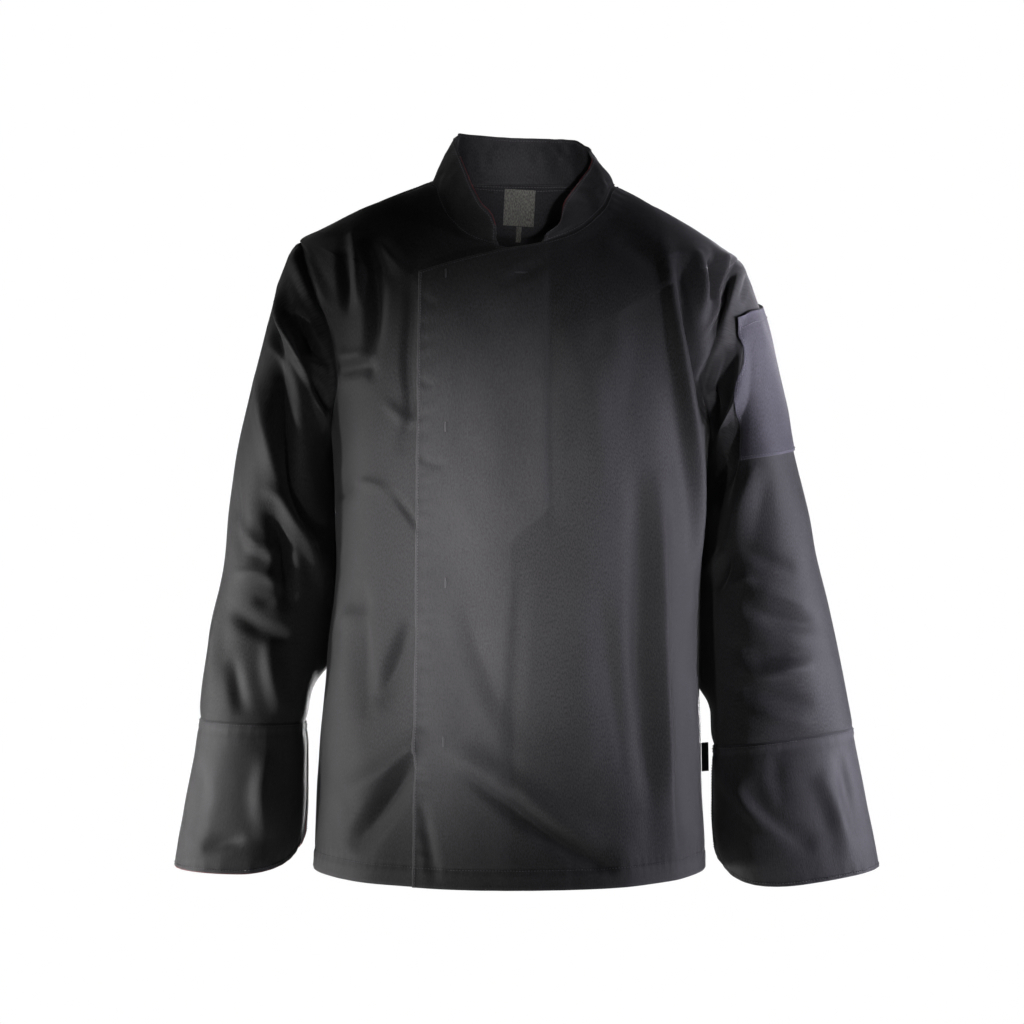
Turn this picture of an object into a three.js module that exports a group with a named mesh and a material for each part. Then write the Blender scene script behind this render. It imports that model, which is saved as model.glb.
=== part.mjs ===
// Chef jacket, double breasted with a concealed stud front, as it stands open and hollow when it is worn.
// Millimetres, +Z up, the front faces -Y and the wearer's left is +X.
// The origin is the middle of the neck base, level with the tops of the shoulders.

import * as THREE from 'three';

// Cloth
const CLOTH = 2; // wall of the twill panels
const DOUBLED = 2.6; // wall of the cuffs, which are cut twice
const SEAM_GAP = 0.3; // space between two pieces that are sewn together
const HALF_SEAM = SEAM_GAP / 2 + 0.05;
const SLEEVE_HEAD_EASE = 0.3; // a little more at the sleeve heads, whose seams turn in space
const OVERLAP_GAP = 2.4; // space between the two fronts where one lies on the other
const LABEL_CLOTH = 1; // wall of the woven labels
const LABEL_GAP = 0.6; // space between a label and the cloth behind it

// Steps of the grids that the panels are worked out on
const SIDE_STEPS = 14;
const ARMHOLE_STEPS = 10;
const SHOULDER_STEPS = 6;
const HALF_FRONT_STEPS = 10;
const BACK_STEPS = 24;
const COLLAR_STEPS = 4;
const SLEEVE_RINGS = 22;
const CUFF_RINGS = 5;

// Body
const CORNERS = 0.84; // 1 is an oval section, less is squarer
const AROUND = 130; // millimetres of cloth for each radian round the body
const HEM = { side: -722, front: -727, back: -723 };
const UNDERARM = -268;
const SHOULDER_TIP = { left: -63, right: -80 };
const NECK_POINT = { left: 3, right: -3 };

// How far the body reaches from its axis, a row for each height
const BODY_SECTIONS = [
  { z: 8, left: 78, right: 76, front: 20, back: 59 },
  { z: 3, left: 93, right: 88, front: 30, back: 63 },
  { z: -3, left: 109, right: 99, front: 36, back: 67 },
  { z: -18, left: 145, right: 127, front: 47, back: 77 },
  { z: -35, left: 178, right: 159, front: 58, back: 86 },
  { z: -52, left: 209, right: 188, front: 69, back: 94 },
  { z: -66, left: 233, right: 209, front: 78, back: 99 },
  { z: -86, left: 239, right: 232, front: 90, back: 104 },
  { z: -120, left: 232, right: 230, front: 106, back: 110 },
  { z: -170, left: 216, right: 220, front: 121, back: 115 },
  { z: -230, left: 203, right: 207, front: 131, back: 117 },
  { z: -300, left: 196, right: 195, front: 137, back: 115 },
  { z: -400, left: 195, right: 191, front: 140, back: 111 },
  { z: -500, left: 202, right: 190, front: 141, back: 113 },
  { z: -600, left: 210, right: 192, front: 142, back: 120 },
  { z: -740, left: 217, right: 194, front: 143, back: 128 },
];

// Cut lines as they are seen from the front, each from the middle of the body outwards
const OVER_EDGE = { hemX: -108, topX: -103, topZ: -104 };
const UNDER_EDGE = { hemX: 100, topX: 96, topZ: -104 };
const NECKLINE = {
  left: [{ x: -24, z: -71 }, { x: -51, z: -62 }, { x: -74, z: -42 }, { x: -86, z: -18 }, { x: -91, z: -4 }],
  right: [{ x: 24, z: -72 }, { x: 56, z: -60 }, { x: 80, z: -40 }, { x: 92, z: -20 }, { x: 97, z: -9 }],
};
const BACK_NECK = [{ turn: 120, z: 3 }, { turn: 180, z: 7 }, { turn: 240, z: 6 }];
const ARMHOLE = {
  leftFront: [{ x: -191, z: -225 }, { x: -194, z: -178 }, { x: -213, z: -118 }, { x: -228, z: -77 }],
  rightFront: [{ x: 189, z: -222 }, { x: 199, z: -179 }, { x: 212, z: -130 }, { x: 222, z: -94 }],
  leftBack: [{ x: -190, z: -225 }, { x: -192, z: -178 }, { x: -212, z: -118 }, { x: -228, z: -77 }],
  rightBack: [{ x: 190, z: -222 }, { x: 196, z: -179 }, { x: 211, z: -130 }, { x: 222, z: -94 }],
};

// Collar, a row for each place along its base from the wearer's right end to the left end
const COLLAR_TOP = [
  { along: 0, x: -26, y: -81, z: -57 },
  { along: 0.03, x: -32, y: -77, z: -43 },
  { along: 0.06, x: -41, y: -67, z: -32 },
  { along: 0.133, x: -57, y: -34, z: 5 },
  { along: 0.25, x: -71, y: 10, z: 48 },
  { along: 0.34, x: -65, y: 36, z: 57 },
  { along: 0.495, x: -5, y: 54, z: 55 },
  { along: 0.65, x: 60, y: 38, z: 50 },
  { along: 0.733, x: 76, y: 16, z: 37 },
  { along: 0.79, x: 77, y: -10, z: 22 },
  { along: 0.853, x: 60, y: -34, z: -9 },
  { along: 0.933, x: 45, y: -62, z: -34 },
  { along: 0.97, x: 41, y: -72, z: -51 },
  { along: 1, x: 27, y: -81, z: -64 },
];
const COLLAR_BULGE = 2;

// Sleeves, a row for each ring: the point furthest from the body, the point nearest to it, and the reach in Y
const SLEEVE_SECTIONS = {
  left: [
    { outX: -233, outZ: -63, inX: -200, inZ: -268, front: 64, back: 60 },
    { outX: -246, outZ: -82, inX: -201, inZ: -271, front: 68, back: 66 },
    { outX: -257, outZ: -112, inX: -202, inZ: -276, front: 71, back: 70 },
    { outX: -267, outZ: -152, inX: -203, inZ: -283, front: 73, back: 72 },
    { outX: -278, outZ: -195, inX: -204, inZ: -293, front: 73, back: 72 },
    { outX: -289, outZ: -240, inX: -204, inZ: -308, front: 72, back: 71 },
    { outX: -300, outZ: -290, inX: -203, inZ: -331, front: 70, back: 69 },
    { outX: -308, outZ: -345, inX: -201, inZ: -366, front: 67, back: 67 },
    { outX: -313, outZ: -400, inX: -201, inZ: -411, front: 65, back: 66 },
    { outX: -321, outZ: -445, inX: -206, inZ: -451, front: 63, back: 63 },
    { outX: -329, outZ: -490, inX: -212, inZ: -493, front: 61, back: 61 },
    { outX: -335, outZ: -530, inX: -220, inZ: -533, front: 59, back: 59 },
    { outX: -339, outZ: -567, inX: -227, inZ: -571, front: 58, back: 58 },
  ],
  right: [
    { outX: 228, outZ: -80, inX: 200, inZ: -268, front: 64, back: 60 },
    { outX: 239, outZ: -97, inX: 201, inZ: -271, front: 68, back: 66 },
    { outX: 249, outZ: -123, inX: 202, inZ: -276, front: 71, back: 70 },
    { outX: 260, outZ: -158, inX: 203, inZ: -283, front: 73, back: 72 },
    { outX: 269, outZ: -198, inX: 203, inZ: -293, front: 73, back: 72 },
    { outX: 280, outZ: -246, inX: 203, inZ: -309, front: 72, back: 71 },
    { outX: 291, outZ: -294, inX: 202, inZ: -333, front: 70, back: 69 },
    { outX: 303, outZ: -345, inX: 200, inZ: -367, front: 67, back: 67 },
    { outX: 314, outZ: -398, inX: 199, inZ: -414, front: 64, back: 64 },
    { outX: 326, outZ: -445, inX: 199, inZ: -462, front: 60, back: 60 },
    { outX: 337, outZ: -495, inX: 201, inZ: -513, front: 55, back: 55 },
    { outX: 346, outZ: -540, inX: 203, inZ: -559, front: 51, back: 51 },
    { outX: 353, outZ: -577, inX: 205, inZ: -597, front: 48, back: 48 },
  ],
};
const SLEEVE_CORNERS = 0.92;
const ARMHOLE_SHAPE_RINGS = 7; // rings over which the armhole's own shape dies out
const BODY_CLEARANCE = 2.5;

// Cuffs, a row for each ring, and the round corners on either side of the slit that faces the body
const CUFF_SECTIONS = {
  left: [
    { outX: -339, outZ: -567.3, inX: -227, inZ: -571.3, front: 58, back: 58 },
    { outX: -351, outZ: -645, inX: -226, inZ: -648, front: 59, back: 59 },
    { outX: -364, outZ: -721, inX: -231, inZ: -725, front: 62, back: 62 },
  ],
  right: [
    { outX: 353, outZ: -577.3, inX: 205, inZ: -597.3, front: 48, back: 48 },
    { outX: 367, outZ: -650, inX: 204, inZ: -672, front: 50, back: 50 },
    { outX: 382, outZ: -723, inX: 212, inZ: -748, front: 53, back: 53 },
  ],
};
const CUFF_CORNER = { columns: 5, rise: 0.4 };
const CUFF_SLIT = 2.2; // degrees on each side of the slit

// Sleeve pocket on the wearer's left: the heights of its corners, and their places round the sleeve,
// in columns of the sleeve's grid from the line that is furthest from the body
const POCKET = {
  front: { topColumn: 3.6, topZ: -150, bottomColumn: 6, bottomZ: -296 },
  back: { topColumn: -1.8, topZ: -130, bottomColumn: -1.4, bottomZ: -280 },
  across: 12,
  up: 9,
  wall: 2,
  gap: 2.1,
  lift: 7,
};

// Labels
const NECK_LABEL = { left: -16, right: 17, top: 0.5, bottom: -36 };
const SIZE_TAB = { left: -1, right: 4, top: -37, bottom: -53 };
const SIDE_TAG = { top: -595, bottom: -625, reach: 9, wall: 1.2, lean: 35, clear: 0.9 };

// The largest folds, a row for each, as it is seen from the front or the back.
// A fold runs from one point to the other, through a bend that stands off the straight line.
const FOLDS = [
  { face: 'front', x1: 140, z1: -110, x2: 168, z2: -330, bend: -4, width: 36, height: 5 },
  { face: 'front', x1: 138, z1: -310, x2: 158, z2: -715, bend: 8, width: 44, height: 5 },
  { face: 'front', x1: -30, z1: -600, x2: 125, z2: -716, bend: 6, width: 34, height: -6 },
  { face: 'front', x1: -110, z1: -605, x2: -168, z2: -700, bend: 4, width: 30, height: -6 },
  { face: 'front', x1: -150, z1: -110, x2: -156, z2: -290, bend: 2, width: 36, height: -5 },
  { face: 'front', x1: -244, z1: -150, x2: -196, z2: -262, bend: 6, width: 34, height: 5 },
  { face: 'front', x1: -262, z1: -335, x2: -208, z2: -430, bend: -14, width: 34, height: 5 },
  { face: 'front', x1: 230, z1: -225, x2: 196, z2: -330, bend: -8, width: 34, height: 5 },
  { face: 'front', x1: 224, z1: -500, x2: 290, z2: -496, bend: 12, width: 30, height: 4 },
  { face: 'front', x1: 218, z1: -640, x2: 300, z2: -690, bend: 14, width: 36, height: 5 },
  { face: 'back', x1: -140, z1: -110, x2: -164, z2: -320, bend: 4, width: 36, height: 5 },
  { face: 'back', x1: 142, z1: -115, x2: 162, z2: -310, bend: -6, width: 36, height: 5 },
  { face: 'back', x1: -120, z1: -320, x2: -146, z2: -715, bend: -8, width: 48, height: 6 },
  { face: 'back', x1: 116, z1: -360, x2: 132, z2: -715, bend: 10, width: 48, height: 6 },
  { face: 'back', x1: 10, z1: -430, x2: -6, z2: -715, bend: 8, width: 52, height: -5 },
  { face: 'back', x1: -232, z1: -180, x2: -262, z2: -400, bend: 8, width: 36, height: 5 },
  { face: 'back', x1: 232, z1: -190, x2: 268, z2: -400, bend: -8, width: 36, height: 5 },
];

const CLOTH_COLOURS = { twill: 0x17181b, pocket: 0x1b1c22, label: 0x4a4b47, tag: 0x0c0c0d };

const RADIAN = Math.PI / 180;

// A smooth curve through a table's column that never swings past its rows
function smoothColumn(rows, key, column) {
  const at = rows.map((row) => row[key]);
  const value = rows.map((row) => row[column]);
  const last = rows.length - 1;
  const rise = at.slice(1).map((a, i) => (value[i + 1] - value[i]) / (a - at[i]));
  const slope = at.map((_, i) => {
    if (i === 0) return rise[0];
    if (i === last) return rise[last - 1];
    const product = rise[i - 1] * rise[i];
    return product <= 0 ? 0 : (2 * product) / (rise[i - 1] + rise[i]);
  });
  const forward = at[last] > at[0] ? 1 : -1;
  return (place) => {
    let i = 0;
    while (i < last - 1 && (place - at[i + 1]) * forward > 0) i += 1;
    const span = at[i + 1] - at[i];
    const t = THREE.MathUtils.clamp((place - at[i]) / span, 0, 1);
    const t2 = t * t;
    const t3 = t2 * t;
    return (2 * t3 - 3 * t2 + 1) * value[i] + (t3 - 2 * t2 + t) * span * slope[i]
      + (3 * t2 - 2 * t3) * value[i + 1] + (t3 - t2) * span * slope[i + 1];
  };
}

const bodyReach = Object.fromEntries(
  ['left', 'right', 'front', 'back'].map((column) => [column, smoothColumn(BODY_SECTIONS, 'z', column)]),
);

const signedPower = (value, power) => Math.sign(value) * Math.abs(value) ** power;

// A point of the body: turn is 0 at the front, a quarter turn at the wearer's left and half a turn at the back
function bodyPoint(turn, z) {
  const side = Math.sin(turn) >= 0 ? bodyReach.right(z) : bodyReach.left(z);
  const depth = Math.cos(turn) >= 0 ? bodyReach.front(z) : bodyReach.back(z);
  const x = side * signedPower(Math.sin(turn), CORNERS);
  const y = -depth * signedPower(Math.cos(turn), CORNERS);
  return new THREE.Vector3(x, y, z);
}

// The pattern plane, where cut lines are drawn: millimetres of turn across and height up
function patternPoint(x, z, onBack = false) {
  const side = x >= 0 ? bodyReach.right(z) : bodyReach.left(z);
  const share = Math.min(Math.abs(x) / side, 1) ** (1 / CORNERS);
  const turn = Math.sign(x) * Math.asin(share);
  return new THREE.Vector2(AROUND * (onBack ? Math.PI - turn : turn), z);
}

const bodySurface = (p) => bodyPoint(p.x / AROUND, p.y);

function hemHeight(turn) {
  const facing = Math.cos(turn);
  const far = facing >= 0 ? HEM.front : HEM.back;
  return HEM.side + (far - HEM.side) * facing * facing;
}

// Points at even steps along a smooth cut line
const alongCurve = (points, steps) => new THREE.SplineCurve(points).getSpacedPoints(steps);

// Side seam, armhole and shoulder seam in one line from hem to neck
function outerLine(side, onBack) {
  const sign = side === 'left' ? -1 : 1;
  const turn = (onBack && sign < 0 ? 3 : sign) * (Math.PI / 2);
  const seam = (z) => new THREE.Vector2(AROUND * turn, z);
  const armhole = ARMHOLE[side + (onBack ? 'Back' : 'Front')].map(({ x, z }) => patternPoint(x, z, onBack));
  const underarm = seam(UNDERARM);
  const tip = seam(SHOULDER_TIP[side]);
  return [
    ...alongCurve([seam(HEM.side), underarm], SIDE_STEPS),
    ...alongCurve([underarm, ...armhole, tip], ARMHOLE_STEPS).slice(1),
    ...alongCurve([tip, seam(NECK_POINT[side])], SHOULDER_STEPS).slice(1),
  ];
}

// A patch of pattern plane between four cut lines, as rows of points from hem to neck that meet the seams level
function patch(bottom, top, left, right) {
  const across = bottom.length - 1;
  const up = left.length - 1;
  const rows = [];
  for (let j = 0; j <= up; j += 1) {
    const v = j / up;
    const row = [];
    for (let i = 0; i <= across; i += 1) {
      const u = i / across;
      const blend = (axis, fromLeft, fromRight) => (1 - v) * bottom[i][axis] + v * top[i][axis]
        + fromLeft * (left[j][axis] - (1 - v) * bottom[0][axis] - v * top[0][axis])
        + fromRight * (right[j][axis] - (1 - v) * bottom[across][axis] - v * top[across][axis]);
      const level = THREE.MathUtils.smoothstep(u, 0, 1);
      row.push(new THREE.Vector2(blend('x', (1 - u) ** 3, u ** 3), blend('y', 1 - level, level)));
    }
    rows.push(row);
  }
  return rows;
}

// Normals of a grid of points that face away from its hollow side
function gridNormals(grid, around, hollow) {
  const rows = grid.length;
  const columns = grid[0].length;
  const normals = grid.map((row, j) => row.map((_, i) => {
    const west = around ? row[(i + columns - 1) % columns] : row[Math.max(i - 1, 0)];
    const east = around ? row[(i + 1) % columns] : row[Math.min(i + 1, columns - 1)];
    const south = grid[Math.max(j - 1, 0)][i];
    const north = grid[Math.min(j + 1, rows - 1)][i];
    const across = east.clone().sub(west);
    return across.cross(north.clone().sub(south)).normalize();
  }));
  let facing = 0;
  grid.forEach((row, j) => row.forEach((point, i) => {
    facing += normals[j][i].dot(point.clone().sub(hollow(point, j)).normalize());
  }));
  if (facing < 0) normals.flat().forEach((normal) => normal.negate());
  // The seams down the sides and over the shoulders lie in one plane, and so do their walls
  grid.forEach((row, j) => row.forEach((point, i) => {
    if (Math.abs(point.y) < SEAM_GAP) normals[j][i].setY(0).normalize();
  }));
  return { grid, around, normals, turned: facing < 0 };
}

// Two pieces that are sewn together share the slant of their walls where they turn the same way
function mitre(first, second) {
  if (first.dot(second) < 0.1) return;
  const shared = first.clone().add(second).normalize();
  first.copy(shared);
  second.copy(shared);
}

const bodyAxis = (point) => new THREE.Vector3(0, 0, point.z);

function ringCentre(grid) {
  const centres = grid.map((row) => row
    .reduce((sum, point) => sum.add(point), new THREE.Vector3())
    .divideScalar(row.length));
  return (_, j) => centres[j];
}

// How far the folds lift a point, seen from the side that the fold is on
function foldLift(point, normal) {
  let lift = 0;
  for (const fold of FOLDS) {
    const facing = fold.face === 'front' ? -normal.y : normal.y;
    if (facing <= 0) continue;
    const from = new THREE.Vector2(fold.x1, fold.z1);
    const run = new THREE.Vector2(fold.x2, fold.z2).sub(from);
    const length = run.length();
    run.divideScalar(length);
    const offset = new THREE.Vector2(point.x, point.z).sub(from);
    const t = offset.dot(run) / length;
    if (t <= 0 || t >= 1) continue;
    const off = offset.cross(run) - fold.bend * Math.sin(Math.PI * t);
    if (Math.abs(off) >= fold.width) continue;
    const across = Math.cos((Math.PI / 2) * (off / fold.width)) ** 2;
    lift += fold.height * across * Math.sin(Math.PI * t) * Math.min(1, facing * 1.6);
  }
  return lift;
}

// Lays the folds into a grid, dying out over the edges that are sewn to another piece
function layFolds(grid, { around = false, hollow, sewn = {} }) {
  const { normals } = gridNormals(grid, around, hollow);
  const lastRow = grid.length - 1;
  const lastColumn = grid[0].length - 1;
  const distance = (isSewn, steps) => (isSewn ? Math.min(steps / 2, 1) : 1);
  return grid.map((row, j) => row.map((point, i) => {
    const fade = Math.min(
      distance(sewn.bottom, j),
      distance(sewn.top, lastRow - j),
      distance(sewn.left, i),
      distance(sewn.right, lastColumn - i),
    );
    return point.clone().addScaledVector(normals[j][i], fade * foldLift(point, normals[j][i]));
  }));
}

// Draws the edge of a grid in from its seams by half the gap
function openSeams(grid, sides, half = HALF_SEAM) {
  const lastRow = grid.length - 1;
  const lastColumn = grid[0].length - 1;
  const towards = (from, to) => {
    const step = to.clone().sub(from);
    return from.clone().addScaledVector(step.normalize(), half);
  };
  const drawn = grid.map((row) => row.map((point) => point.clone()));
  for (let j = 0; j <= lastRow; j += 1) {
    if (sides.left) drawn[j][0] = towards(grid[j][0], grid[j][1]);
    if (sides.right) drawn[j][lastColumn] = towards(grid[j][lastColumn], grid[j][lastColumn - 1]);
  }
  for (let i = 0; i <= lastColumn; i += 1) {
    if (sides.bottom) drawn[0][i] = towards(drawn[0][i], drawn[1][i]);
    if (sides.top) drawn[lastRow][i] = towards(drawn[lastRow][i], drawn[lastRow - 1][i]);
  }
  return drawn;
}

// A closed wall of cloth between an outer grid and the same grid moved in
function clothWall({ grid: outer, around, normals, turned }, wall = CLOTH, sunk = 0) {
  const rows = outer.length;
  const columns = outer[0].length;
  const positions = [];
  [sunk, sunk + wall].forEach((depth) => {
    outer.forEach((row, j) => row.forEach((point, i) => {
      const moved = point.clone().addScaledVector(normals[j][i], -depth);
      positions.push(moved.x, moved.y, moved.z);
    }));
  });
  const index = [];
  const inner = rows * columns;
  const at = (j, i) => j * columns + (i % columns);
  const spot = (corner) => new THREE.Vector3().fromArray(positions, 3 * corner);
  const apart = (first, second) => spot(first).distanceTo(spot(second));
  const quad = (a, b, c, d) => (turned ? index.push(a, c, b, a, d, c) : index.push(a, b, c, a, c, d));
  const spans = around ? columns : columns - 1;
  for (let j = 0; j < rows - 1; j += 1) {
    for (let i = 0; i < spans; i += 1) {
      const corners = [at(j, i), at(j, i + 1), at(j + 1, i + 1), at(j + 1, i)];
      // Both faces split along the shorter diagonal
      if (apart(corners[0], corners[2]) > apart(corners[1], corners[3])) corners.push(corners.shift());
      quad(...corners);
      const [a, b, c, d] = corners.map((corner) => corner + inner);
      quad(a, d, c, b);
    }
  }
  for (let i = 0; i < spans; i += 1) {
    quad(at(0, i + 1), at(0, i), at(0, i) + inner, at(0, i + 1) + inner);
    const top = rows - 1;
    quad(at(top, i), at(top, i + 1), at(top, i + 1) + inner, at(top, i) + inner);
  }
  if (!around) {
    for (let j = 0; j < rows - 1; j += 1) {
      const end = columns - 1;
      quad(at(j, 0), at(j + 1, 0), at(j + 1, 0) + inner, at(j, 0) + inner);
      quad(at(j + 1, end), at(j, end), at(j, end) + inner, at(j + 1, end) + inner);
    }
  }
  const geometry = new THREE.BufferGeometry();
  geometry.setAttribute('position', new THREE.Float32BufferAttribute(positions, 3));
  geometry.setIndex(index);
  return geometry;
}

const jacket = new THREE.Group();

function addPiece(name, geometry, color, roughness = 0.85) {
  const piece = new THREE.Mesh(geometry, new THREE.MeshStandardMaterial({ color, roughness, metalness: 0 }));
  piece.name = name;
  jacket.add(piece);
}

// Cut line from the top corner of a front along its slanted top edge, then round the neck
function frontTop(edge, side) {
  const neck = NECKLINE[side].map(({ x, z }) => patternPoint(x, z));
  const turn = side === 'left' ? -Math.PI / 2 : Math.PI / 2;
  const neckPoint = new THREE.Vector2(AROUND * turn, NECK_POINT[side]);
  const slant = alongCurve([patternPoint(edge.topX, edge.topZ), neck[0]], HALF_FRONT_STEPS);
  return [...slant, ...alongCurve([...neck, neckPoint], HALF_FRONT_STEPS).slice(1)];
}

// The free edge of a front hangs straight
function frontEdge(edge) {
  const steps = SIDE_STEPS + ARMHOLE_STEPS + SHOULDER_STEPS;
  const hem = hemHeight(patternPoint(edge.hemX, HEM.side).x / AROUND);
  return Array.from({ length: steps + 1 }, (_, j) => {
    const x = THREE.MathUtils.lerp(edge.hemX, edge.topX, j / steps);
    return patternPoint(x, THREE.MathUtils.lerp(hem, edge.topZ, j / steps));
  });
}

function hemLine(fromTurn, toTurn, steps) {
  return Array.from({ length: steps + 1 }, (_, i) => {
    const turn = THREE.MathUtils.lerp(fromTurn, toTurn, i / steps);
    return new THREE.Vector2(AROUND * turn, hemHeight(turn));
  });
}

// The two fronts
const overEdge = frontEdge(OVER_EDGE);
const overSide = outerLine('right', false);
const overGrid = layFolds(
  patch(
    hemLine(overEdge[0].x / AROUND, Math.PI / 2, 2 * HALF_FRONT_STEPS),
    frontTop(OVER_EDGE, 'right'),
    overEdge,
    overSide,
  ).map((row) => row.map(bodySurface)),
  { hollow: bodyAxis, sewn: { right: true } },
);

// The under front sinks behind the over front, and comes up to the seam at the side
const SINK = { full: -118, none: -172, depth: CLOTH + OVERLAP_GAP };
function sink(grid) {
  const { normals } = gridNormals(grid, false, bodyAxis);
  return grid.map((row, j) => row.map((point, i) => {
    const share = THREE.MathUtils.smoothstep(point.x, SINK.none, SINK.full);
    return point.clone().addScaledVector(normals[j][i], -SINK.depth * share);
  }));
}

const underEdge = frontEdge(UNDER_EDGE);
const underSide = outerLine('left', false);
const underGrid = sink(layFolds(
  patch(
    hemLine(-Math.PI / 2, underEdge[0].x / AROUND, 2 * HALF_FRONT_STEPS),
    frontTop(UNDER_EDGE, 'left').reverse(),
    underSide,
    underEdge,
  ).map((row) => row.map(bodySurface)),
  { hollow: bodyAxis, sewn: { left: true } },
));

// The back
const backNeck = [
  new THREE.Vector2(AROUND * Math.PI / 2, NECK_POINT.right),
  ...BACK_NECK.map(({ turn, z }) => new THREE.Vector2(AROUND * turn * RADIAN, z)),
  new THREE.Vector2(AROUND * 3 * Math.PI / 2, NECK_POINT.left),
];
const backGrid = layFolds(
  patch(
    hemLine(Math.PI / 2, 3 * Math.PI / 2, BACK_STEPS),
    alongCurve(backNeck, BACK_STEPS),
    outerLine('right', true),
    outerLine('left', true),
  ).map((row) => row.map(bodySurface)),
  { hollow: bodyAxis, sewn: { left: true, right: true } },
);

const onBody = (grid, seams) => gridNormals(openSeams(grid, seams), false, bodyAxis);
const panels = {
  over: onBody(overGrid, { right: true, top: true }),
  under: onBody(underGrid, { left: true, top: true }),
  back: onBody(backGrid, { left: true, right: true, top: true }),
};

// The collar stands on the neckline of the three panels
const topRow = (grid) => grid[grid.length - 1];
const collarBase = [
  ...topRow(underGrid).slice(0, HALF_FRONT_STEPS + 1).reverse(),
  ...[...topRow(backGrid)].reverse().slice(1, -1),
  ...topRow(overGrid).slice(HALF_FRONT_STEPS).reverse(),
];
const collarTopAt = Object.fromEntries(
  ['x', 'y', 'z'].map((axis) => [axis, smoothColumn(COLLAR_TOP, 'along', axis)]),
);

function collarGrid() {
  const lengths = [0];
  collarBase.slice(1).forEach((point, i) => lengths.push(lengths[i] + point.distanceTo(collarBase[i])));
  const whole = lengths[lengths.length - 1];
  const rows = [];
  for (let j = 0; j <= COLLAR_STEPS; j += 1) {
    const v = j / COLLAR_STEPS;
    rows.push(collarBase.map((base, i) => {
      const along = lengths[i] / whole;
      const top = new THREE.Vector3(collarTopAt.x(along), collarTopAt.y(along), collarTopAt.z(along));
      const rise = top.clone().sub(base);
      const foot = base.clone().addScaledVector(rise.clone().normalize(), SEAM_GAP);
      const outward = new THREE.Vector3(base.x, base.y, 0).normalize();
      return foot.lerp(top, v).addScaledVector(outward, COLLAR_BULGE * Math.sin(Math.PI * v));
    }));
  }
  return rows;
}
addPiece('collar', clothWall(gridNormals(collarGrid(), false, bodyAxis)), CLOTH_COLOURS.twill);

// A ring of a sleeve or cuff: angle 0 is furthest from the body, a quarter turn is the front
function ringPoint(section, angle) {
  const reach = signedPower(Math.cos(angle), SLEEVE_CORNERS);
  const depth = signedPower(Math.sin(angle), SLEEVE_CORNERS);
  const x = (section.outX + section.inX) / 2 + (reach * (section.outX - section.inX)) / 2;
  const z = (section.outZ + section.inZ) / 2 + (reach * (section.outZ - section.inZ)) / 2;
  return new THREE.Vector3(x, -depth * (depth > 0 ? section.front : section.back), z);
}

function sectionsAlong(table) {
  const rows = table.map((row, i) => ({ ...row, at: i / (table.length - 1) }));
  const columns = ['outX', 'outZ', 'inX', 'inZ', 'front', 'back'];
  const curves = columns.map((column) => [column, smoothColumn(rows, 'at', column)]);
  return (at) => Object.fromEntries(curves.map(([column, curve]) => [column, curve(at)]));
}

// Moves a point off the side of the body where it would press on it
function clearOfBody(point) {
  if (point.z > UNDERARM) return point;
  const side = point.x > 0 ? bodyReach.right(point.z) : bodyReach.left(point.z);
  const depth = point.y < 0 ? bodyReach.front(point.z) : bodyReach.back(point.z);
  const share = 1 - Math.min(Math.abs(point.y) / depth, 1) ** (2 / CORNERS);
  const wall = side * share ** (CORNERS / 2);
  const start = THREE.MathUtils.smoothstep(UNDERARM - point.z, 0, 30);
  const least = wall + 0.5 + (BODY_CLEARANCE - 0.5) * start;
  if (Math.abs(point.x) < least) point.setX(Math.sign(point.x) * least);
  return point;
}

// The armhole as a ring, from the shoulder tip round the front to the underarm and back
function armholeRing(frontColumn, backColumn) {
  const span = (column) => column.slice(SIDE_STEPS, SIDE_STEPS + ARMHOLE_STEPS + 1);
  const front = span(frontColumn).reverse();
  const back = span(backColumn);
  return [...front.slice(0, -1), ...back.slice(0, -1)];
}

function sleeveGrid(side, armhole) {
  const sectionAt = sectionsAlong(SLEEVE_SECTIONS[side]);
  const columns = armhole.length;
  const angles = armhole.map((_, i) => (2 * Math.PI * i) / columns);
  const first = sectionAt(0);
  const rings = [];
  for (let j = 0; j <= SLEEVE_RINGS; j += 1) {
    const at = (j / SLEEVE_RINGS) ** 1.15;
    const section = sectionAt(at);
    const memory = 1 - THREE.MathUtils.smoothstep(j, 0, ARMHOLE_SHAPE_RINGS);
    rings.push(angles.map((angle, i) => {
      const own = armhole[i].clone().sub(ringPoint(first, angle));
      return clearOfBody(ringPoint(section, angle).addScaledVector(own, memory));
    }));
  }
  return rings;
}

function cuffGrid(side) {
  const sectionAt = sectionsAlong(CUFF_SECTIONS[side]);
  const columns = 2 * ARMHOLE_STEPS;
  const rings = [];
  for (let j = 0; j <= CUFF_RINGS; j += 1) {
    rings.push(Array.from({ length: columns + 1 }, (_, i) => {
      const fromSlit = Math.min(i, columns - i) / CUFF_CORNER.columns;
      const round = fromSlit < 1 ? 1 - Math.sqrt(1 - (1 - fromSlit) ** 2) : 0;
      const at = (j / CUFF_RINGS) * (1 - CUFF_CORNER.rise * round);
      const open = CUFF_SLIT * RADIAN;
      const angle = Math.PI + THREE.MathUtils.lerp(open, 2 * Math.PI - open, i / columns);
      return ringPoint(sectionAt(at), angle);
    }));
  }
  return rings;
}

const column = (grid, i) => grid.map((row) => row[i]);
const sleeves = {
  right: armholeRing(column(overGrid, 2 * HALF_FRONT_STEPS), column(backGrid, 0)),
  left: armholeRing(column(underGrid, 0), column(backGrid, BACK_STEPS)),
};
// The wearer's left sleeve is on +X
const WEARER = { right: 'left', left: 'right' };

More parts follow.
